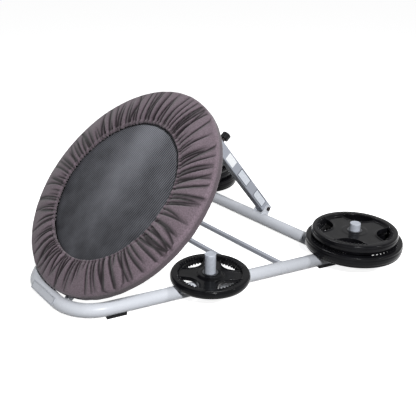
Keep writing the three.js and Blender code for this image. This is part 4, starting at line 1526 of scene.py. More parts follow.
@dataclass
class Deck(Assembly):
    """The tilted deck: ring, laced mat and gathered skirt. Creases' depths and gathers are in millimetres."""

    tilt: float = math.radians(44.06)
    hinge_rise: float = 455 * MM
    front_plane: float = 66 * MM
    ring_radius: float = 475 * MM
    ring_tube: float = 15 * MM
    ring_height: float = 43.2 * MM
    ring_sides: int = 24
    mat_radius: float = 372 * MM
    mat_height: float = 52.2 * MM
    mat_thickness: float = 3 * MM
    band_inside: float = 347 * MM
    band_outside: float = 387.3 * MM
    band_thickness: float = 2.5 * MM
    eyelet_radius: float = 376.8 * MM
    eyelet_size: float = 9 * MM
    eyelet_flange: float = 3.2 * MM
    eyelet_metal: float = 0.6 * MM
    stitch_pitch: float = 5.5 * MM
    casing_pitch: float = 6 * MM
    cord_radius: float = 3 * MM
    cord_turns: int = 32
    skirt_radius: float = 500 * MM
    skirt_opening: float = 332.5 * MM
    skirt_swell: float = 15 * MM
    skirt_depth: float = 47 * MM
    skirt_cloth: float = 1.4 * MM
    hem_width: float = 50 * MM
    skirt_columns: int = 1000
    skirt_shoulder: float = 14 * MM
    skirt_sag: float = 15 * MM
    skirt_crown: float = 11 * MM
    edge_setback: float = 2.5 * MM
    front_rows: int = 27
    groove_depth: float = 3.4 * MM
    groove_reach: float = 5 * MM
    open_radius: float = 455 * MM
    open_fade: float = 40 * MM
    cut_inside: float = 15 * MM
    cut_outside: float = 95 * MM
    hem_elastic: float = 2.4 * MM
    side_rounding: float = 8 * MM
    seam_size: float = 0.7 * MM
    crease_seed: int = 7
    crease_count: int = 118
    crease_jitter: float = 0.38
    crease_skew: float = 0.03
    crease_bow: float = 0.025
    deep_share: float = 0.84
    deep_reach: tuple[float, float] = (0.8, 1.6)
    deep_depth: tuple[float, float] = (13.0, 22.0)
    slight_reach: tuple[float, float] = (0.35, 0.7)
    slight_depth: tuple[float, float] = (8.0, 14.0)
    narrow_ridge: tuple[float, float] = (0.28, 0.5)
    wide_ridge: tuple[float, float] = (0.8, 1.3)
    # Painted shade of the skirt: the share for its side and hem, and the fold depth at which a fold is fully
    # shaded.
    side_fading: float = 0.45
    fold_mark: float = 7.5 * MM
    fold_bins: int = 64
    fold_spread: float = 0.45
    casing: float = 13 * MM
    least_room: float = 1.5 * MM

    @property
    def place(self) -> Matrix:
        """The deck's frame: origin at its centre, +Y up the slope, +Z out of its front."""
        hinge = middle("left_hinge_bush")
        origin = Vector((0.0, hinge.y, hinge.z))
        turn = Matrix.Rotation(self.tilt, 4, "X")
        return Matrix.Translation(origin) @ turn @ Matrix.Translation((0.0, self.hinge_rise, 0.0))

    @property
    def band_top(self) -> float:
        """The upper face of the webbing behind the mat's edge."""
        return self.mat_height - self.mat_thickness / 2 - 0.3 * MM

    def build(self) -> None:
        """Builds the whole deck."""
        self.rim()
        self.mat()
        self.edge_band()
        self.eyelets()
        self.lacing()
        self.elastic()
        self.skirt()
        self.casing_stitches()
        self.brackets()

    def rim(self) -> None:
        """Turns the round tube ring."""
        profile = round_section(self.ring_radius, self.ring_height, self.ring_tube, self.ring_sides)
        piece = Workpiece("deck_ring").turn_up(profile, 180)
        piece.finish(self.palette.silver, "deck", "silver_powder_coat", ["rim_ring"], 60, self.place)

    def mat(self) -> None:
        """Makes the taut mat, with its weave laid out on a UV map."""
        half = self.mat_thickness / 2
        rounding = 0.6 * MM
        profile = [(0.0, half)]
        profile += [(self.mat_radius * share, half) for share in (0.25, 0.5, 0.75, 0.9)]
        profile += [(self.mat_radius - rounding, half), (self.mat_radius, half - rounding)]
        profile += [(self.mat_radius, -half + rounding), (self.mat_radius - rounding, -half), (0.0, -half)]
        piece = Workpiece("woven_mat").turn_up(profile, 144, Matrix.Translation((0, 0, self.mat_height)))
        weave = piece.mesh.loops.layers.uv.new("weave")
        for face in piece.mesh.faces:
            for loop in face.loops:
                loop[weave].uv = (loop.vert.co.x, loop.vert.co.y)
        made = piece.finish(self.palette.mat, "deck", "mat_weave", ["mat"], 60, self.place)

    def edge_band(self) -> None:
        """Turns the webbing that is sewn behind the mat's edge, and its two lines of stitches."""
        top = self.band_top
        low = top - self.band_thickness
        edge = 0.8 * MM
        profile = [
            (self.band_inside, low + edge),
            (self.band_inside + edge, low),
            (self.band_outside - edge, low),
            (self.band_outside, low + edge),
            (self.band_outside, top - edge),
            (self.band_outside - edge, top),
            (self.band_inside + edge, top),
            (self.band_inside, top - edge),
        ]
        piece = Workpiece("edge_webbing").turn_up(profile, 192)
        piece.finish(self.palette.webbing, "deck", "webbing", ["mat_edge_band"], 30, self.place)
        for index, radius in enumerate((self.band_inside + 5 * MM, self.mat_radius - 4 * MM)):
            self.stitches(f"band_stitches_{index + 1}", radius, low - 0.1 * MM)

    def stitches(self, name: str, radius: float, height: float) -> None:
        """Lays a ring of stitches on the webbing.

        Args:
            name: The piece's name.
            radius: The ring's radius.
            height: Its height in the deck's frame.
        """
        count = round(FULL_TURN * radius / self.stitch_pitch)
        size = Matrix.Diagonal((0.5 * MM, 0.34 * self.stitch_pitch, 0.35 * MM, 1))
        piece = Workpiece(name)
        for index in range(count):
            turn = Matrix.Rotation(FULL_TURN * index / count, 4, "Z")
            place = turn @ Matrix.Translation((radius, 0, height)) @ size
            bmesh.ops.create_icosphere(piece.mesh, subdivisions=1, radius=1.0, matrix=place)
        piece.finish(self.palette.thread, "deck", "webbing", (), 80, self.place)

    def eyelets(self) -> None:
        """Turns a metal eyelet for each turn of the lacing but one, where the strut's bracket is."""
        top = self.band_top
        low = top - self.band_thickness
        inner, outer = self.eyelet_size / 2, self.eyelet_size / 2 + self.eyelet_flange
        thick = self.eyelet_metal
        profile = [
            (inner, low - thick),
            (outer - 0.8 * MM, low - thick),
            (outer, low + 0.05 * MM),
            (outer, top),
            (inner, top),
        ]
        piece = Workpiece("band_eyelets")
        for index in range(1, self.cord_turns):
            angle = FULL_TURN * index / self.cord_turns
            place = Matrix.Rotation(-angle, 4, "Z") @ Matrix.Translation((0, self.eyelet_radius, 0))
            piece.turn_up(profile, 20, place)
        piece.finish(self.palette.bright, "deck", "bright_steel", (), 50, self.place)

    def lacing(self) -> None:
        """Laces the elastic cord round the ring and through the eyelets."""
        stand = self.ring_tube + 0.4 * MM + self.cord_radius
        band = self.band_top - self.band_thickness / 2
        pitch = FULL_TURN / self.cord_turns
        hole = self.eyelet_radius + self.eyelet_size / 2 - self.cord_radius - 0.1 * MM
        wrap = [math.radians(step) for step in range(-112, 113, 28)]
        points: list[Vector] = []

        def add(radius: float, angle: float, height: float) -> None:
            """Adds a point; its angle runs from +Y towards +X."""
            points.append(Vector((radius * math.sin(angle), radius * math.cos(angle), height)))

        for turn in range(self.cord_turns):
            angle = turn * pitch
            if turn:
                for rise in (7.5, 5.0, 0.0, -5.0, -7.5):
                    outward = 1.0 * MM if abs(rise) > 6 else 0.0
                    lead = 0.002 if rise < 0 else -0.002
                    add(hole + outward, angle + lead, band + rise * MM)
            for bent in wrap:
                swing = bent / math.pi * 0.12 * pitch
                add(
                    self.ring_radius + stand * math.cos(bent),
                    angle + pitch / 2 + swing,
                    self.ring_height + stand * math.sin(bent),
                )
        data = along("lacing_rope", points, self.cord_radius, sides=12)
        data.transform(self.place)
        length = sum((b - a).length for a, b in zip(points, points[1:]))
        log.info("lacing cord: about %.2f m", length)
        deliver("lacing_rope", data, self.palette.cord, "deck", ["lacing_cord"], 80)

    def creases(self) -> list[Crease]:
        """Draws the skirt's folds.

        Returns:
            The folds, with their own places, lengths and depths.
        """
        dice = random.Random(self.crease_seed)
        spacing = FULL_TURN / self.crease_count
        folds = []
        for index in range(self.crease_count):
            deep = dice.random() < self.deep_share
            narrow = dice.uniform(*self.narrow_ridge)
            wide = dice.uniform(*self.wide_ridge)
            left, right = (narrow, wide) if dice.random() < 0.5 else (wide, narrow)
            folds.append(
                Crease(
                    angle=(index + dice.uniform(-self.crease_jitter, self.crease_jitter)) * spacing,
                    reach=dice.uniform(*(self.deep_reach if deep else self.slight_reach)),
                    depth=dice.uniform(*(self.deep_depth if deep else self.slight_depth)) * MM,
                    left=left * spacing,
                    right=right * spacing,
                    skew=dice.gauss(0.0, self.crease_skew),
                    bow=dice.gauss(0.0, self.crease_bow),
                )
            )
        return folds

    def creases_near(self) -> list[list[Crease]]:
        """Sorts the folds by place, so that a point only looks at those near it.

        Returns:
            For each slice of the full turn, the folds that can reach into it.
        """
        folds = self.creases()
        slices = []
        for index in range(self.fold_bins):
            centre = FULL_TURN * (index + 0.5) / self.fold_bins
            near = [fold for fold in folds if abs(turned_back(fold.angle - centre)) < self.fold_spread]
            slices.append(near)
        return slices

    def skirt_profile(self) -> tuple[list[tuple[float, float]], list[float]]:
        """Draws the skirt's section from its elastic edge in front, over the ring, to its hem behind.

        Returns:
            Points of radius and height, and for each the share of the front that it lies at, above 1 past the
            front.
        """
        opening, outer, corner = self.skirt_opening, self.skirt_radius, self.side_rounding
        front = self.front_plane
        swell = self.skirt_swell
        points: list[tuple[float, float]] = []
        shares: list[float] = []
        edge = opening + self.edge_setback
        rolled = ((10.0, -15.0), (5.0, -16.4), (1.2, -14.0), (-0.8, -9.0), (-0.6, -4.0), (1.4, -0.9))
        for radius, height in rolled:
            points.append((edge + radius * MM, front + swell + height * MM))
            shares.append(0.0)
        rows = self.front_rows
        shoulder = self.skirt_shoulder
        span = outer - shoulder - (edge + 4 * MM)
        for row in range(rows + 1):
            share = (row / rows) ** 1.15
            radius = edge + 4 * MM + span * share
            roll = (radius - edge - self.casing) / self.groove_reach
            groove = self.groove_depth * math.exp(-roll * roll)
            crown = swell * (1 - share) + self.skirt_crown * math.sin(math.pi * share) * (1 - 0.3 * share)
            points.append((radius, front + crown + 0.3 * MM - groove))
            shares.append(0.02 + 0.98 * share)
        for step in range(1, 6):
            angle = step * math.pi / 10
            drop = shoulder * (1 - math.cos(angle))
            points.append((outer - shoulder * (1 - math.sin(angle)), front - drop))
            shares.append(1.0 + 0.1 * step)
        base = front - self.skirt_depth
        for step in range(1, 4):
            points.append((outer, front - shoulder - (self.skirt_depth - shoulder - corner) * step / 3))
            shares.append(2.0)
        for step in range(1, 4):
            angle = step * math.pi / 6
            points.append((outer - corner * (1 - math.cos(angle)), base + corner - corner * math.sin(angle)))
            shares.append(2.5)
        hem = outer - self.hem_width
        for step in range(1, 4):
            points.append((outer - corner - (outer - corner - hem - 2 * MM) * step / 3, base))
            shares.append(3.0)
        return points, shares

    def skirt(self) -> None:
        """Gathers the skirt: a turned section, then every point moved by the folds near it."""
        profile, shares = self.skirt_profile()
        piece = Workpiece("gathered_skirt")
        fresh = piece.mesh
        share_of = fresh.verts.layers.float.new("share")
        corners = []
        for (radius, height), share in zip(profile, shares):
            vert = fresh.verts.new((radius, 0.0, height))
            vert[share_of] = share
            corners.append(vert)
        edges = [fresh.edges.new(pair) for pair in zip(corners, corners[1:])]
        spin_round(fresh, corners + edges, self.skirt_columns)
        self.gather(fresh, share_of)
        self.face_out(fresh)
        stood_for = ["skirt", "skirt_front_elastic"]
        made = piece.finish(self.palette.skirt, "deck", "skirt_fabric", stood_for, 180, self.place)
        modify(made, "cloth", "SOLIDIFY", thickness=self.skirt_cloth, offset=-1.0)
        self.seam_lines()

    def face_out(self, fresh: Shape) -> None:
        """Turns the skirt's faces so that the front looks out of the deck's front.

        Args:
            fresh: The skirt's mesh.
        """
        bmesh.ops.recalc_face_normals(fresh, faces=fresh.faces)
        front = max(fresh.faces, key=lambda face: face.calc_center_median().z)
        front.normal_update()
        if front.normal.z < 0:
            bmesh.ops.reverse_faces(fresh, faces=fresh.faces)

    def gather(self, fresh: Shape, share_of: Any) -> None:
        """Moves the skirt's points into folds, puckers and soft waves, and stores each point's painted shade.

        Args:
            fresh: The skirt's mesh.
            share_of: The layer with each point's share of the front.
        """
        near = self.creases_near()
        # Painted shade: each point's share of the dark fold colour goes into the "fold" layer.
        fold_shade_layer = fresh.verts.layers.float.new("fold")
        for vert in fresh.verts:
            share = vert[share_of]
            radius = math.hypot(vert.co.x, vert.co.y)
            angle = math.atan2(vert.co.y, vert.co.x)
            folds = near[int(angle % FULL_TURN / FULL_TURN * self.fold_bins) % self.fold_bins]
            vert[fold_shade_layer] = self.pinch(folds, radius, angle, share)
            vert.co.z += self.cloth_height(folds, radius, angle, share, vert.co.z)
            grown = 1.0 + self.cloth_spread(angle, share) / radius
            vert.co.x *= grown
            vert.co.y = vert.co.y * grown - self.sag_at(share)

    def pinch(self, folds: list[Crease], radius: float, angle: float, share: float) -> float:
        """How much painted shade a point of the cloth gets, more the deeper it lies in a fold.

        Args:
            folds: The skirt's folds.
            radius: The point's radius.
            angle: Its place round the deck.
            share: Its share of the front; 2 and more is the side and the hem.

        Returns:
            0 on the open cloth, up to 1 in a deep fold, and a fixed share on the side and hem.
        """
        if share >= 2.0:
            return self.side_fading
        deepest = 0.0
        for fold in folds:
            depth = fold.depth_at(share)
            if depth > 0.0:
                near = fold.nearness(fold.across(angle, share, radius), radius)
                deepest = max(deepest, depth / self.fold_mark * near**2.2)
        return min(1.0, deepest)

    def sag_at(self, share: float) -> float:
        """How far the skirt has slid down the slope at a share of its front, most at its opening."""
        return self.skirt_sag * max(0.0, 1.0 - share) ** 1.5

    def cloth_height(
        self, folds: list[Crease], radius: float, angle: float, share: float, level: float
    ) -> float:
        """How far a point of the cloth stands out of its turned section.

        Args:
            folds: The skirt's folds.
            radius: The point's radius.
            angle: Its place round the deck.
            share: Its share of the front; more than 1 is past the front.
            level: The turned section's own height there.

        Returns:
            The height in metres.
        """
        if share >= 2.0:
            return (1.1 if share >= 3.0 else 0.4) * MM * self.pucker(angle + 0.01)
        front = max(0.0, 1.0 - max(share - 0.95, 0.0) / 0.35)
        soft = noise_round(angle, 3.1, radius * 9.0)
        open_ring = min(1.0, max(0.0, (self.open_radius - radius) / self.open_fade))
        room = max(self.least_room, level - self.front_plane + (1.5 + 9.0 * open_ring) * MM)
        sunk = -self.fold_height(folds, radius, angle, share)
        height = (2.6 * MM * soft - room * (1.0 - math.exp(-sunk / room))) * front
        if share < 0.1:
            height += 2.6 * MM * self.pucker(angle) * (1.0 - share / 0.1)
        return height

    def cloth_spread(self, angle: float, share: float) -> float:
        """How far a point of the cloth lies outside its turned section.

        Args:
            angle: Its place round the deck.
            share: Its share of the front; more than 1 is past the front.

        Returns:
            The distance in metres, negative inwards.
        """
        if share < 0.1:
            ring = noise_round(angle, 5.0, 7.0)
            return (1.8 * ring + 1.9 * self.pucker(angle)) * MM * (1.0 - share / 0.1)
        if share > 1.2:
            lumps = noise_round(angle, 11.0, 3.0)
            return -1.6 * MM * (1.0 + lumps)
        return 0.0

    def pucker(self, angle: float) -> float:
        """The small even gathers of an elastic casing.

        Args:
            angle: The place round the deck.

        Returns:
            A height from -1 to 1.
        """
        drift = 2.2 * noise_round(angle, 6.0, 1.0)
        return math.sin(150 * angle + 5 * drift) * (0.75 + 0.25 * math.sin(23 * angle))

    def fold_height(self, folds: list[Crease], radius: float, angle: float, share: float) -> float:
        """The height that the folds give a point of the skirt's front.

        Args:
            folds: The skirt's folds.
            radius: The point's radius.
            angle: Its place round the deck.
            share: Its share of the front, from the elastic edge outwards.

        Returns:
            The height, negative in a fold.
        """
        height = 0.0
        for fold in folds:
            depth = fold.depth_at(share)
            if depth == 0.0:
                continue
            height -= depth * fold.valley(fold.across(angle, share, radius), radius)
        return height

    def casing_stitches(self) -> None:
        """Sews the elastic's casing: stitches that follow the cloth round the groove."""
        near = self.creases_near()
        profile, shares = self.skirt_profile()
        target = self.skirt_opening + self.edge_setback + self.casing
        front = [(point, share) for point, share in zip(profile, shares) if share <= 1.0]
        (radius, level), share = min(front, key=lambda row: abs(row[0][0] - target))
        count = round(FULL_TURN * radius / self.casing_pitch)
        piece = Workpiece("casing_stitches")
        for index in range(count):
            angle = FULL_TURN * index / count
            folds = near[int(angle / FULL_TURN * self.fold_bins) % self.fold_bins]
            height = level + self.cloth_height(folds, radius, angle, share, level) + 0.3 * MM
            place = (
                Matrix.Translation((0, -self.sag_at(share), 0))
                @ Matrix.Rotation(angle, 4, "Z")
                @ Matrix.Translation((radius, 0, height))
                @ Matrix.Diagonal((0.7 * MM, 2.0 * MM, 0.5 * MM, 1))
            )
            bmesh.ops.create_icosphere(piece.mesh, subdivisions=1, radius=1.0, matrix=place)
        piece.finish(self.palette.thread, "deck", "skirt_fabric", (), 80, self.place)

    def seam_lines(self) -> None:
        """Sews the skirt's front to its side: a cord of piping round the shoulder."""
        points = []
        height = self.front_plane - self.skirt_shoulder - 1 * MM
        for index in range(180):
            angle = FULL_TURN * index / 180
            radius = self.skirt_radius - 0.2 * MM + self.cloth_spread(angle, 1.3)
            points.append(polar(radius, angle, height))
        data = along("skirt_seam", points, self.seam_size, closed=True, sides=8)
        data.transform(self.place)
        deliver("skirt_seam", data, self.palette.skirt, "deck", (), 80)

    def elastic(self) -> None:
        """Turns the elastic in the skirt's hem behind."""
        radius = self.skirt_radius - self.hem_width - 3.4 * MM
        height = self.front_plane - self.skirt_depth + 1.2 * MM
        section = round_section(radius, height, self.hem_elastic, 12)
        piece = Workpiece("skirt_hem_elastic").turn_up(section, 160)
        piece.finish(self.palette.skirt, "deck", "elastic_cord", ["skirt_rear_elastic"], 60, self.place)

    def brackets(self) -> None:
        """Rounds the ring's lugs and the bracket of the strut's head, and makes its fasteners."""
        for side in Side:
            self.painted(side.label + "_hinge_lug", side.label + "_hinge_tongue", "deck")
        self.painted("strut_head_bracket", "strut_head_yoke", "deck")
        Fasteners(self.palette).pivot("strut_head", "deck", Side.RIGHT)


# Strut


@dataclass
class Strut(Assembly):
    """The telescoping strut: sleeve, inner tube, guide, glide, pull pin and bare label films.

    The films are given in millimetres: their height along the strut, length and width.
    """

    lean: Vector = field(default_factory=lambda: Vector((0.0, -0.636897, 0.770949)))
    sleeve_half: float = 25 * MM
    pin_rise: float = 528 * MM
    pin_travel: float = 8.1 * MM
    spring_radius: float = 4.85 * MM
    spring_wire: float = 1.5 * MM
    spring_turns: int = 4
    spring_steps: int = 16
    film: float = 0.5 * MM
    film_edge: float = 3.6 * MM
    film_face: float = 0.2 * MM
    film_corner: float = 4 * MM
    films: tuple[Triple, ...] = ((424, 74, 37), (281, 104, 42), (97, 113, 42))

    @property
    def place(self) -> Matrix:
        """The strut's frame: origin on the foot bolt, +Z along the strut, +Y out of its upper face."""
        out = Vector((0.0, self.lean.z, -self.lean.y))
        return frame_of(middle("strut_foot_bush"), Vector((1.0, 0.0, 0.0)), out, self.lean)

    def build(self) -> None:
        """Builds the whole strut."""
        for node, name, body, material, slot in (
            ("strut_sleeve", "outer_tube", "strut", self.palette.grey, "silver_powder_coat"),
            ("inner_tube", "sliding_tube", "strut_inner", self.palette.bright, "bright_steel"),
            ("sleeve_guide", "mouth_guide", "strut", self.palette.plastic, "black_plastic"),
            ("inner_tube_glide", "tube_glide", "strut_inner", self.palette.nylon, "nylon"),
        ):
            piece = copy_of(self.nodes[node], name).soften(0.6 * MM, 2, 60)
            piece.finish(material, body, slot, [node], 50, flats=True)
        self.label_films()
        self.pull_pin()

    def label_films(self) -> None:
        """Lays the three bare films on the sleeve's near face."""
        for index, (rise, length, width) in enumerate(self.films):
            sheet = rounded_box(width * MM, length * MM, self.film, self.film_corner)
            turn = Matrix(((0, 0, 1, 0), (1, 0, 0, 0), (0, 1, 0, 0), (0, 0, 0, 1)))
            place = self.place @ Matrix.Translation((self.sleeve_half + self.film / 2, 0, rise * MM)) @ turn
            name = f"bare_film_{index + 1}"
            material = self.palette.border if index else self.palette.label
            Workpiece(name).take(sheet, place).finish(material, "strut", "silver_powder_coat", ())
            if index:
                edge = self.film_edge
                across, tall = width * MM - 2 * edge, length * MM - 2 * edge
                inner = rounded_box(across, tall, self.film_face, self.film_corner - edge / 2)
                raised = place @ Matrix.Translation((0, 0, self.film / 2 + 0.1 * MM))
                top = Workpiece(name + "_face").take(inner, raised)
                top.finish(self.palette.grey_label, "strut", "silver_powder_coat", ())

    def pull_pin(self) -> None:
        """Turns the pin's housing, stem and fluted knob."""
        out = self.place @ Matrix.Translation((0, 0, self.pin_rise)) @ Matrix.Rotation(-math.pi / 2, 4, "X")
        base = 27.3 * MM
        top = base + 18 * MM
        housing = [
            (5.5 * MM, base),
            (11 * MM, base),
            (12 * MM, base + 1 * MM),
            (12 * MM, base + 4 * MM),
            (10.5 * MM, base + 5 * MM),
            (10.5 * MM, top - 1 * MM),
            (9.5 * MM, top),
            (3.5 * MM, top),
            (3.5 * MM, top - 4 * MM),
            (5.5 * MM, top - 4 * MM),
        ]
        barrel = Workpiece("pin_barrel").turn_up(housing, 48, out)
        barrel.finish(self.palette.oxide, "strut", "black_steel", ["pin_housing"], 30)
        stem = [
            (0.0, 22.3 * MM),
            (4 * MM, 22.3 * MM),
            (5 * MM, 23.3 * MM),
            (5 * MM, base + 4 * MM),
            (3 * MM, base + 4 * MM),
            (3 * MM, base + 33.3 * MM),
            (0.0, base + 33.3 * MM),
        ]
        shaft = Workpiece("pin_stem").turn_up(stem, 32, out)
        shaft.finish(self.palette.bright, "pin", "bright_steel", ["pull_pin"], 30)
        piece = copy_of(self.nodes["pull_knob"], "fluted_knob").soften(1.2 * MM, 2, 25)
        piece.finish(self.palette.plastic, "pin", "black_plastic", ["pull_knob"], 50, flats=True)
        self.coil_spring(out, base + 4.3 * MM, top - 4.3 * MM)

    def coil_spring(self, out: Matrix, start: float, end: float) -> None:
        """Winds the pin's spring, from the pin's collar to the housing's cap.

        Args:
            out: The pin's frame, +Z towards the knob.
            start: The spring's end on the pin's collar.
            end: Its end under the cap.
        """
        steps = self.spring_turns * self.spring_steps
        radius = self.spring_radius - self.spring_wire / 2
        points = []
        for step in range(steps + 1):
            rise = start + self.spring_wire / 2 + (end - start - self.spring_wire) * step / steps
            points.append(out @ polar(radius, FULL_TURN * step / self.spring_steps, rise))
        data = along("coil_spring", points, self.spring_wire / 2, sides=8)
        made = deliver("coil_spring", data, self.palette.spring, "strut", ["pin_spring"], 60)
        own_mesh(made)


# Grip plates


@dataclass
class GripPlate:
    """A rubber covered plate with four grips, and its steel hub ring."""

    palette: Palette
    name: str
    radius: float
    thickness: float
    hub_recess: float
    turn: float = 0.0
    rim_width: float = 38 * MM
    rim_rounding: float = 7 * MM
    rim_slope: float = 7 * MM
    web_recess: float = 13 * MM
    boss_radius: float = 50 * MM
    boss_slope: float = 9 * MM
    bore: float = 25.4 * MM
    ring_wall: float = 5 * MM
    slots: int = 4
    slot_half_angle: float = math.radians(27.5)
    slot_share: float = 0.3
    lip_width: float = 6 * MM
    lip_height: float = 4.5 * MM
    rib_count: int = 9
    rib_size: Triple = (12.5 * MM, 3.9 * MM, 10 * MM)
    side_step: float = 2.5 * MM
    ridge_share: float = 0.18
    voxel: float = 1.7 * MM
    kept_share: float = 0.3
    lip_corner: float = 14 * MM
    slot_corner: float = 9 * MM
    slot_steps: int = 16
    cast: bpy.types.Mesh | None = None

    def section(self) -> list[tuple[float, float]]:
        """The plate's section, closed, with its corners rounded.

        Returns:
            Points of radius and height.
        """
        half = self.thickness / 2
        hub, web, rim = half - self.hub_recess, half - self.web_recess, self.radius - self.rim_width
        seat = self.bore + self.ring_wall
        upper = [
            (seat, hub - 1.5 * MM),
            (seat + 1.5 * MM, hub),
            (self.boss_radius, hub),
            (self.boss_radius + self.boss_slope * 0.5, (hub + web) / 2 + 0.8 * MM),
            (self.boss_radius + self.boss_slope, web),
            (rim, web),
            (rim + self.rim_slope * 0.7, half - 1.5 * MM),
            (rim + self.rim_slope + 1.5 * MM, half),
        ]
        for step in range(5):
            angle = math.pi / 8 * step
            inward, down = (self.rim_rounding * (1 - part(angle)) for part in (math.sin, math.cos))
            upper.append((self.radius - self.side_step - inward, half - down))
        ridge = self.thickness * self.ridge_share
        upper += [(self.radius - self.side_step, ridge + 2.2 * MM), (self.radius, ridge)]
        return upper + [(radius, -height) for radius, height in reversed(upper)]

    def slot_outline(self, grow: float) -> list[Vector]:
        """The outline of a grip slot on the +X side: an arc outside, bowed towards the hub.

        Args:
            grow: How far the outline stands outside the slot's own.

        Returns:
            Its points.
        """
        rim = self.radius - self.rim_width
        outside = rim + self.rim_slope / 2 + grow * 0.4
        inside = rim - self.radius * self.slot_share - grow
        half = self.slot_half_angle + grow / outside
        steps = self.slot_steps
        points = [polar(outside, -half + 2 * half * step / steps) for step in range(steps + 1)]
        corner = points[-1].copy()
        control = Vector((2 * inside - corner.x, 0.0, 0.0))
        far = Vector((corner.x, -corner.y, 0.0))
        for step in range(1, steps):
            t = step / steps
            points.append(corner * (1 - t) ** 2 + control * (2 * t * (1 - t)) + far * t**2)
        return points

    def prism(self, outline: list[Vector], low: float, high: float, rounding: float) -> Shape:
        """An upright prism with its sharp corners rounded.

        Args:
            outline: Its outline.
            low: Its lower face.
            high: Its upper face.
            rounding: The radius of its two pointed corners.

        Returns:
            The shape.
        """
        fresh = bmesh.new()
        verts = [fresh.verts.new((point.x, point.y, low)) for point in outline]
        face = fresh.faces.new(verts)
        risen = bmesh.ops.extrude_face_region(fresh, geom=[face])["geom"]
        top = [item for item in risen if isinstance(item, bmesh.types.BMVert)]
        bmesh.ops.translate(fresh, vec=(0, 0, high - low), verts=top)
        upright = [e for e in fresh.edges if abs(e.verts[0].co.z - e.verts[1].co.z) > (high - low) / 2]
        pointed = [e for e in upright if e.calc_face_angle(0.0) > math.radians(40)]
        bevel(fresh, pointed, rounding, 4)
        bmesh.ops.recalc_face_normals(fresh, faces=fresh.faces)
        return fresh

    def build(self, node: str, body: str) -> None:
        """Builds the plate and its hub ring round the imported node.

        Args:
            node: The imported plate's name.
            body: The body that it rides on.
        """
        made = put(node + "_rubber", self.mould().copy())
        made.data.transform(Matrix.Translation(middle(node)) @ Matrix.Rotation(self.turn, 4, "Z"))
        attach(made, body, [node])
        self.hub_ring(node, body)

    def mould(self) -> bpy.types.Mesh:
        """Moulds the rubber body: section, lips and ribs in one skin, with the slots cut through.

        Returns:
            Its mesh about the origin, the same for all plates of one size.
        """
        if self.cast is not None:
            return self.cast
        half = self.thickness / 2
        lip, past = half - self.web_recess + self.lip_height, half + 20 * MM
        turns = [Matrix.Rotation(FULL_TURN * index / self.slots, 4, "Z") for index in range(self.slots)]
        piece = Workpiece(self.name + "_mould").turn_up(self.section(), 128)
        cutter = Workpiece(self.name + "_slots")
        for turn in turns:
            piece.take(self.prism(self.slot_outline(self.lip_width), -lip, lip, self.lip_corner), turn)
            cutter.take(self.prism(self.slot_outline(0.0), -past, past, self.slot_corner), turn)
        made, knife = piece.rough(), cutter.rough()
        modify(made, "skin", "REMESH", mode="VOXEL", voxel_size=self.voxel)
        modify(made, "slots", "BOOLEAN", operation="DIFFERENCE", solver="EXACT", object=knife)
        modify(made, "mould", "REMESH", mode="VOXEL", voxel_size=self.voxel)
        modify(made, "soft", "SMOOTH", factor=0.5, iterations=3)
        modify(made, "thin", "DECIMATE", ratio=self.kept_share)
        bpy.context.view_layer.update()
        graph = bpy.context.evaluated_depsgraph_get()
        moulded = bpy.data.meshes.new_from_object(made.evaluated_get(graph))
        bpy.data.objects.remove(made)
        bpy.data.objects.remove(knife)
        ribbed = Workpiece(self.name + "_ribbed")
        ribbed.mesh.from_mesh(moulded)
        for turn in turns:
            self.ribs(ribbed, turn)
        ribbed.mesh.to_mesh(moulded)
        ribbed.mesh.free()
        moulded.materials.clear()
        moulded.materials.append(self.palette.plate)
        for polygon in moulded.polygons:
            polygon.use_smooth = True
        self.cast = moulded
        return moulded

    def ribs(self, piece: Workpiece, turn: Matrix) -> None:
        """Adds the finger ribs of one grip, above and below.

        Args:
            piece: The plate under way.
            turn: The grip's turn about the hub.
        """
        rim, half = self.radius - self.rim_width, self.thickness / 2
        spread = self.slot_half_angle * 0.88
        for index in range(self.rib_count):
            angle = -spread + 2 * spread * index / (self.rib_count - 1)
            for way in (-1, 1):
                place = (
                    turn
                    @ Matrix.Rotation(angle, 4, "Z")
                    @ Matrix.Translation((rim + self.rim_slope + 2.5 * MM, 0, way * (half - 6.5 * MM)))
                    @ Matrix.Diagonal((*self.rib_size, 1))
                )
                bmesh.ops.create_icosphere(piece.mesh, subdivisions=2, radius=1.0, matrix=place)

    def hub_ring(self, node: str, body: str) -> None:
        """Turns the steel ring in the hub, with its lip.

        Args:
            node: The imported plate's name.
            body: The body that it rides on.
        """
        barrel = self.bore + self.ring_wall
        face = self.thickness / 2 - self.hub_recess + 0.3 * MM
        lip = 3 * MM
        profile = [
            (self.bore + 0.8 * MM, face + lip),
            (barrel + lip - 1.2 * MM, face + lip),
            (barrel + lip, face + lip - 1.2 * MM),
            (barrel + lip, face),
            (barrel, face),
            (barrel, -face + 0.8 * MM),
            (barrel - 0.8 * MM, -face),
            (self.bore + 0.8 * MM, -face),
            (self.bore, -face + 0.8 * MM),
            (self.bore, face + lip - 0.8 * MM),
        ]
        ring = Workpiece(node + "_steel_ring").turn_up(profile, 72, Matrix.Translation(middle(node)))
        # The ring's steel is painted dark, as shade.
        ring.finish(self.palette.ring, body, "bright_steel", [node + "_hub_ring"], 30)


@dataclass
class Plates:
    """The six plates on the pegs."""

    palette: Palette

    def build(self) -> None:
        """Builds each plate at its node."""
        small = GripPlate(self.palette, "small", 171 * MM, 35 * MM, 4 * MM)
        lower = GripPlate(self.palette, "lower", 221 * MM, 51 * MM, 8 * MM)
        upper = GripPlate(self.palette, "upper", 195 * MM, 44 * MM, 12 * MM, math.radians(30))
        for side in Side:
            word = side.label
            small.build(f"front_{word}_plate", f"front_{word}_load")
            lower.build(f"rear_{word}_lower_plate", f"rear_{word}_lower_load")
            upper.build(f"rear_{word}_upper_plate", f"rear_{word}_upper_load")


# Studio


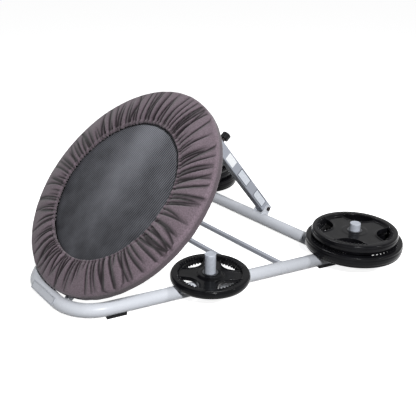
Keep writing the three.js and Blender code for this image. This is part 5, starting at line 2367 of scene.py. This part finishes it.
@dataclass(frozen=True)
class Lamp:
    """A square soft lamp that points at the middle of the object."""

    name: str
    place: Triple
    watts: float
    size: float

    def hang(self, target: Vector) -> None:
        """Hangs the lamp.

        Args:
            target: What it points at.
        """
        data = bpy.data.lights.new(self.name, "AREA")
        data.shape = "SQUARE"
        data.size = self.size
        data.energy = self.watts
        made = put(self.name, data)
        made.location = self.place
        made.rotation_euler = (target - Vector(self.place)).to_track_quat("-Z", "Y").to_euler()


@dataclass
class Studio:
    """Camera, lamps, world and floor. The camera's values were fitted to the photograph."""

    position: Triple = (1.9719, -1.5747, 1.3387)
    azimuth: float = math.radians(52.307)
    pitch: float = math.radians(25.688)
    roll: float = math.radians(-0.601)
    focal_px: float = 580.03
    middle_px: tuple[float, float] = (177.88, 227.41)
    picture_px: float = 416.0
    sensor: float = 36.0
    floor_size: float = 60.0
    world_strength: float = 0.09
    lamps: tuple[Lamp, ...] = (
        Lamp("key_lamp", (3.1, -1.6, 2.8), 202.0, 0.4),
        Lamp("side_lamp", (3.3, 1.7, 2.5), 45.0, 0.3),
        Lamp("top_lamp", (-1.5, 1.8, 3.6), 32.0, 0.7),
        Lamp("fill_lamp", (-1.2, -4.2, 2.4), 16.0, 1.8),
    )
    target: Triple = (0.0, -0.1, 0.25)
    floor_drop: float = 0.5 * MM
    floor_shade: str = "#2e2e2f"
    floor_colour: str = "#f2f2f3"
    floor_glow: float = 0.89

    def build(self) -> None:
        """Sets everything up."""
        self.camera()
        for lamp in self.lamps:
            lamp.hang(Vector(self.target))
        self.world()
        self.floor()
        bpy.context.scene.view_settings.view_transform = "Standard"

    def camera(self) -> None:
        """Places the camera at the photograph's viewpoint."""
        data = bpy.data.cameras.new("camera")
        data.sensor_width = self.sensor
        data.lens = self.focal_px * self.sensor / self.picture_px
        half = self.picture_px / 2
        data.shift_x = (half - self.middle_px[0]) / self.picture_px
        data.shift_y = (self.middle_px[1] - half) / self.picture_px
        data.clip_start, data.clip_end = 0.05, 100.0
        made = put("camera", data)
        a, p, r = self.azimuth, self.pitch, self.roll
        ahead = Vector((-math.sin(a) * math.cos(p), math.cos(a) * math.cos(p), -math.sin(p)))
        right = Vector((math.cos(a), math.sin(a), 0.0))
        up = right.cross(ahead)
        across = right * math.cos(r) + up * math.sin(r)
        upward = up * math.cos(r) - right * math.sin(r)
        made.matrix_world = frame_of(Vector(self.position), across, upward, -ahead)
        bpy.context.scene.camera = made

    def seen_directly(self, tree: bpy.types.NodeTree) -> Any:
        """A socket that is 1 for what the camera, gloss and glass see, and 0 for light on the object.

        Args:
            tree: The nodes of a world or material.

        Returns:
            The socket.
        """
        rays = add_node(tree, "ShaderNodeLightPath")
        mirrored = {0: rays.outputs["Is Glossy Ray"], 1: rays.outputs["Is Transmission Ray"]}
        glass = add_node(tree, "ShaderNodeMath", mirrored, operation="MAXIMUM")
        seen = {0: rays.outputs["Is Camera Ray"], 1: glass.outputs[0]}
        return add_node(tree, "ShaderNodeMath", seen, operation="MAXIMUM").outputs[0]

    def world(self) -> None:
        """Makes a white world that lights the object softly."""
        made = bpy.data.worlds.new("studio_world")
        made.use_nodes = True
        tree = made.node_tree
        tree.nodes.clear()
        ends = {"Value": self.seen_directly(tree), "To Min": self.world_strength, "To Max": 1.0}
        level = add_node(tree, "ShaderNodeMapRange", ends).outputs["Result"]
        sky = add_node(tree, "ShaderNodeBackground", {"Color": (1.0, 1.0, 1.0, 1.0), "Strength": level})
        add_node(tree, "ShaderNodeOutputWorld", {"Surface": sky.outputs["Background"]})
        bpy.context.scene.world = made

    def floor(self) -> None:
        """Lays a plain pale floor, which keeps the object's shadow."""
        fresh = bmesh.new()
        bmesh.ops.create_grid(fresh, x_segments=1, y_segments=1, size=self.floor_size / 2)
        data = bpy.data.meshes.new("floor")
        fresh.to_mesh(data)
        fresh.free()
        material = bpy.data.materials.new("pale_floor")
        material.use_nodes = True
        tree = material.node_tree
        tree.nodes.clear()
        direct = self.seen_directly(tree)
        tones = {0: direct, 6: linear(self.floor_shade), 7: linear(self.floor_colour)}
        tone = add_node(tree, "ShaderNodeMix", tones, data_type="RGBA")
        paint = add_node(tree, "ShaderNodeBsdfDiffuse", {"Color": tone.outputs[2]})
        glow = add_node(tree, "ShaderNodeEmission", {"Color": (1.0, 1.0, 1.0, 1.0)})
        lift = add_node(tree, "ShaderNodeMath", {0: direct, 1: self.floor_glow}, operation="MULTIPLY")
        tree.links.new(lift.outputs[0], glow.inputs["Strength"])
        both = add_node(tree, "ShaderNodeAddShader", {0: paint.outputs["BSDF"], 1: glow.outputs["Emission"]})
        add_node(tree, "ShaderNodeOutputMaterial", {"Surface": both.outputs["Shader"]})
        data.materials.append(material)
        made = put("floor", data)
        made.location.z = -self.floor_drop


def corners(box: Box) -> list[list[float]]:
    """A box as plain numbers.

    Args:
        box: Its lowest and highest corner.

    Returns:
        The two corners as lists.
    """
    return [list(map(float, corner)) for corner in box]


def main() -> None:
    """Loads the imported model, dresses it and sets up the studio."""
    logging.basicConfig(level=logging.INFO, format="%(message)s")
    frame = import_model()
    Studio().build()
    palette = Palette()
    nodes = frame["nodes"]
    Base(palette, nodes).build()
    Deck(palette, nodes).build()
    Strut(palette, nodes).build()
    Plates(palette).build()


if __name__ == "__main__":
    main()
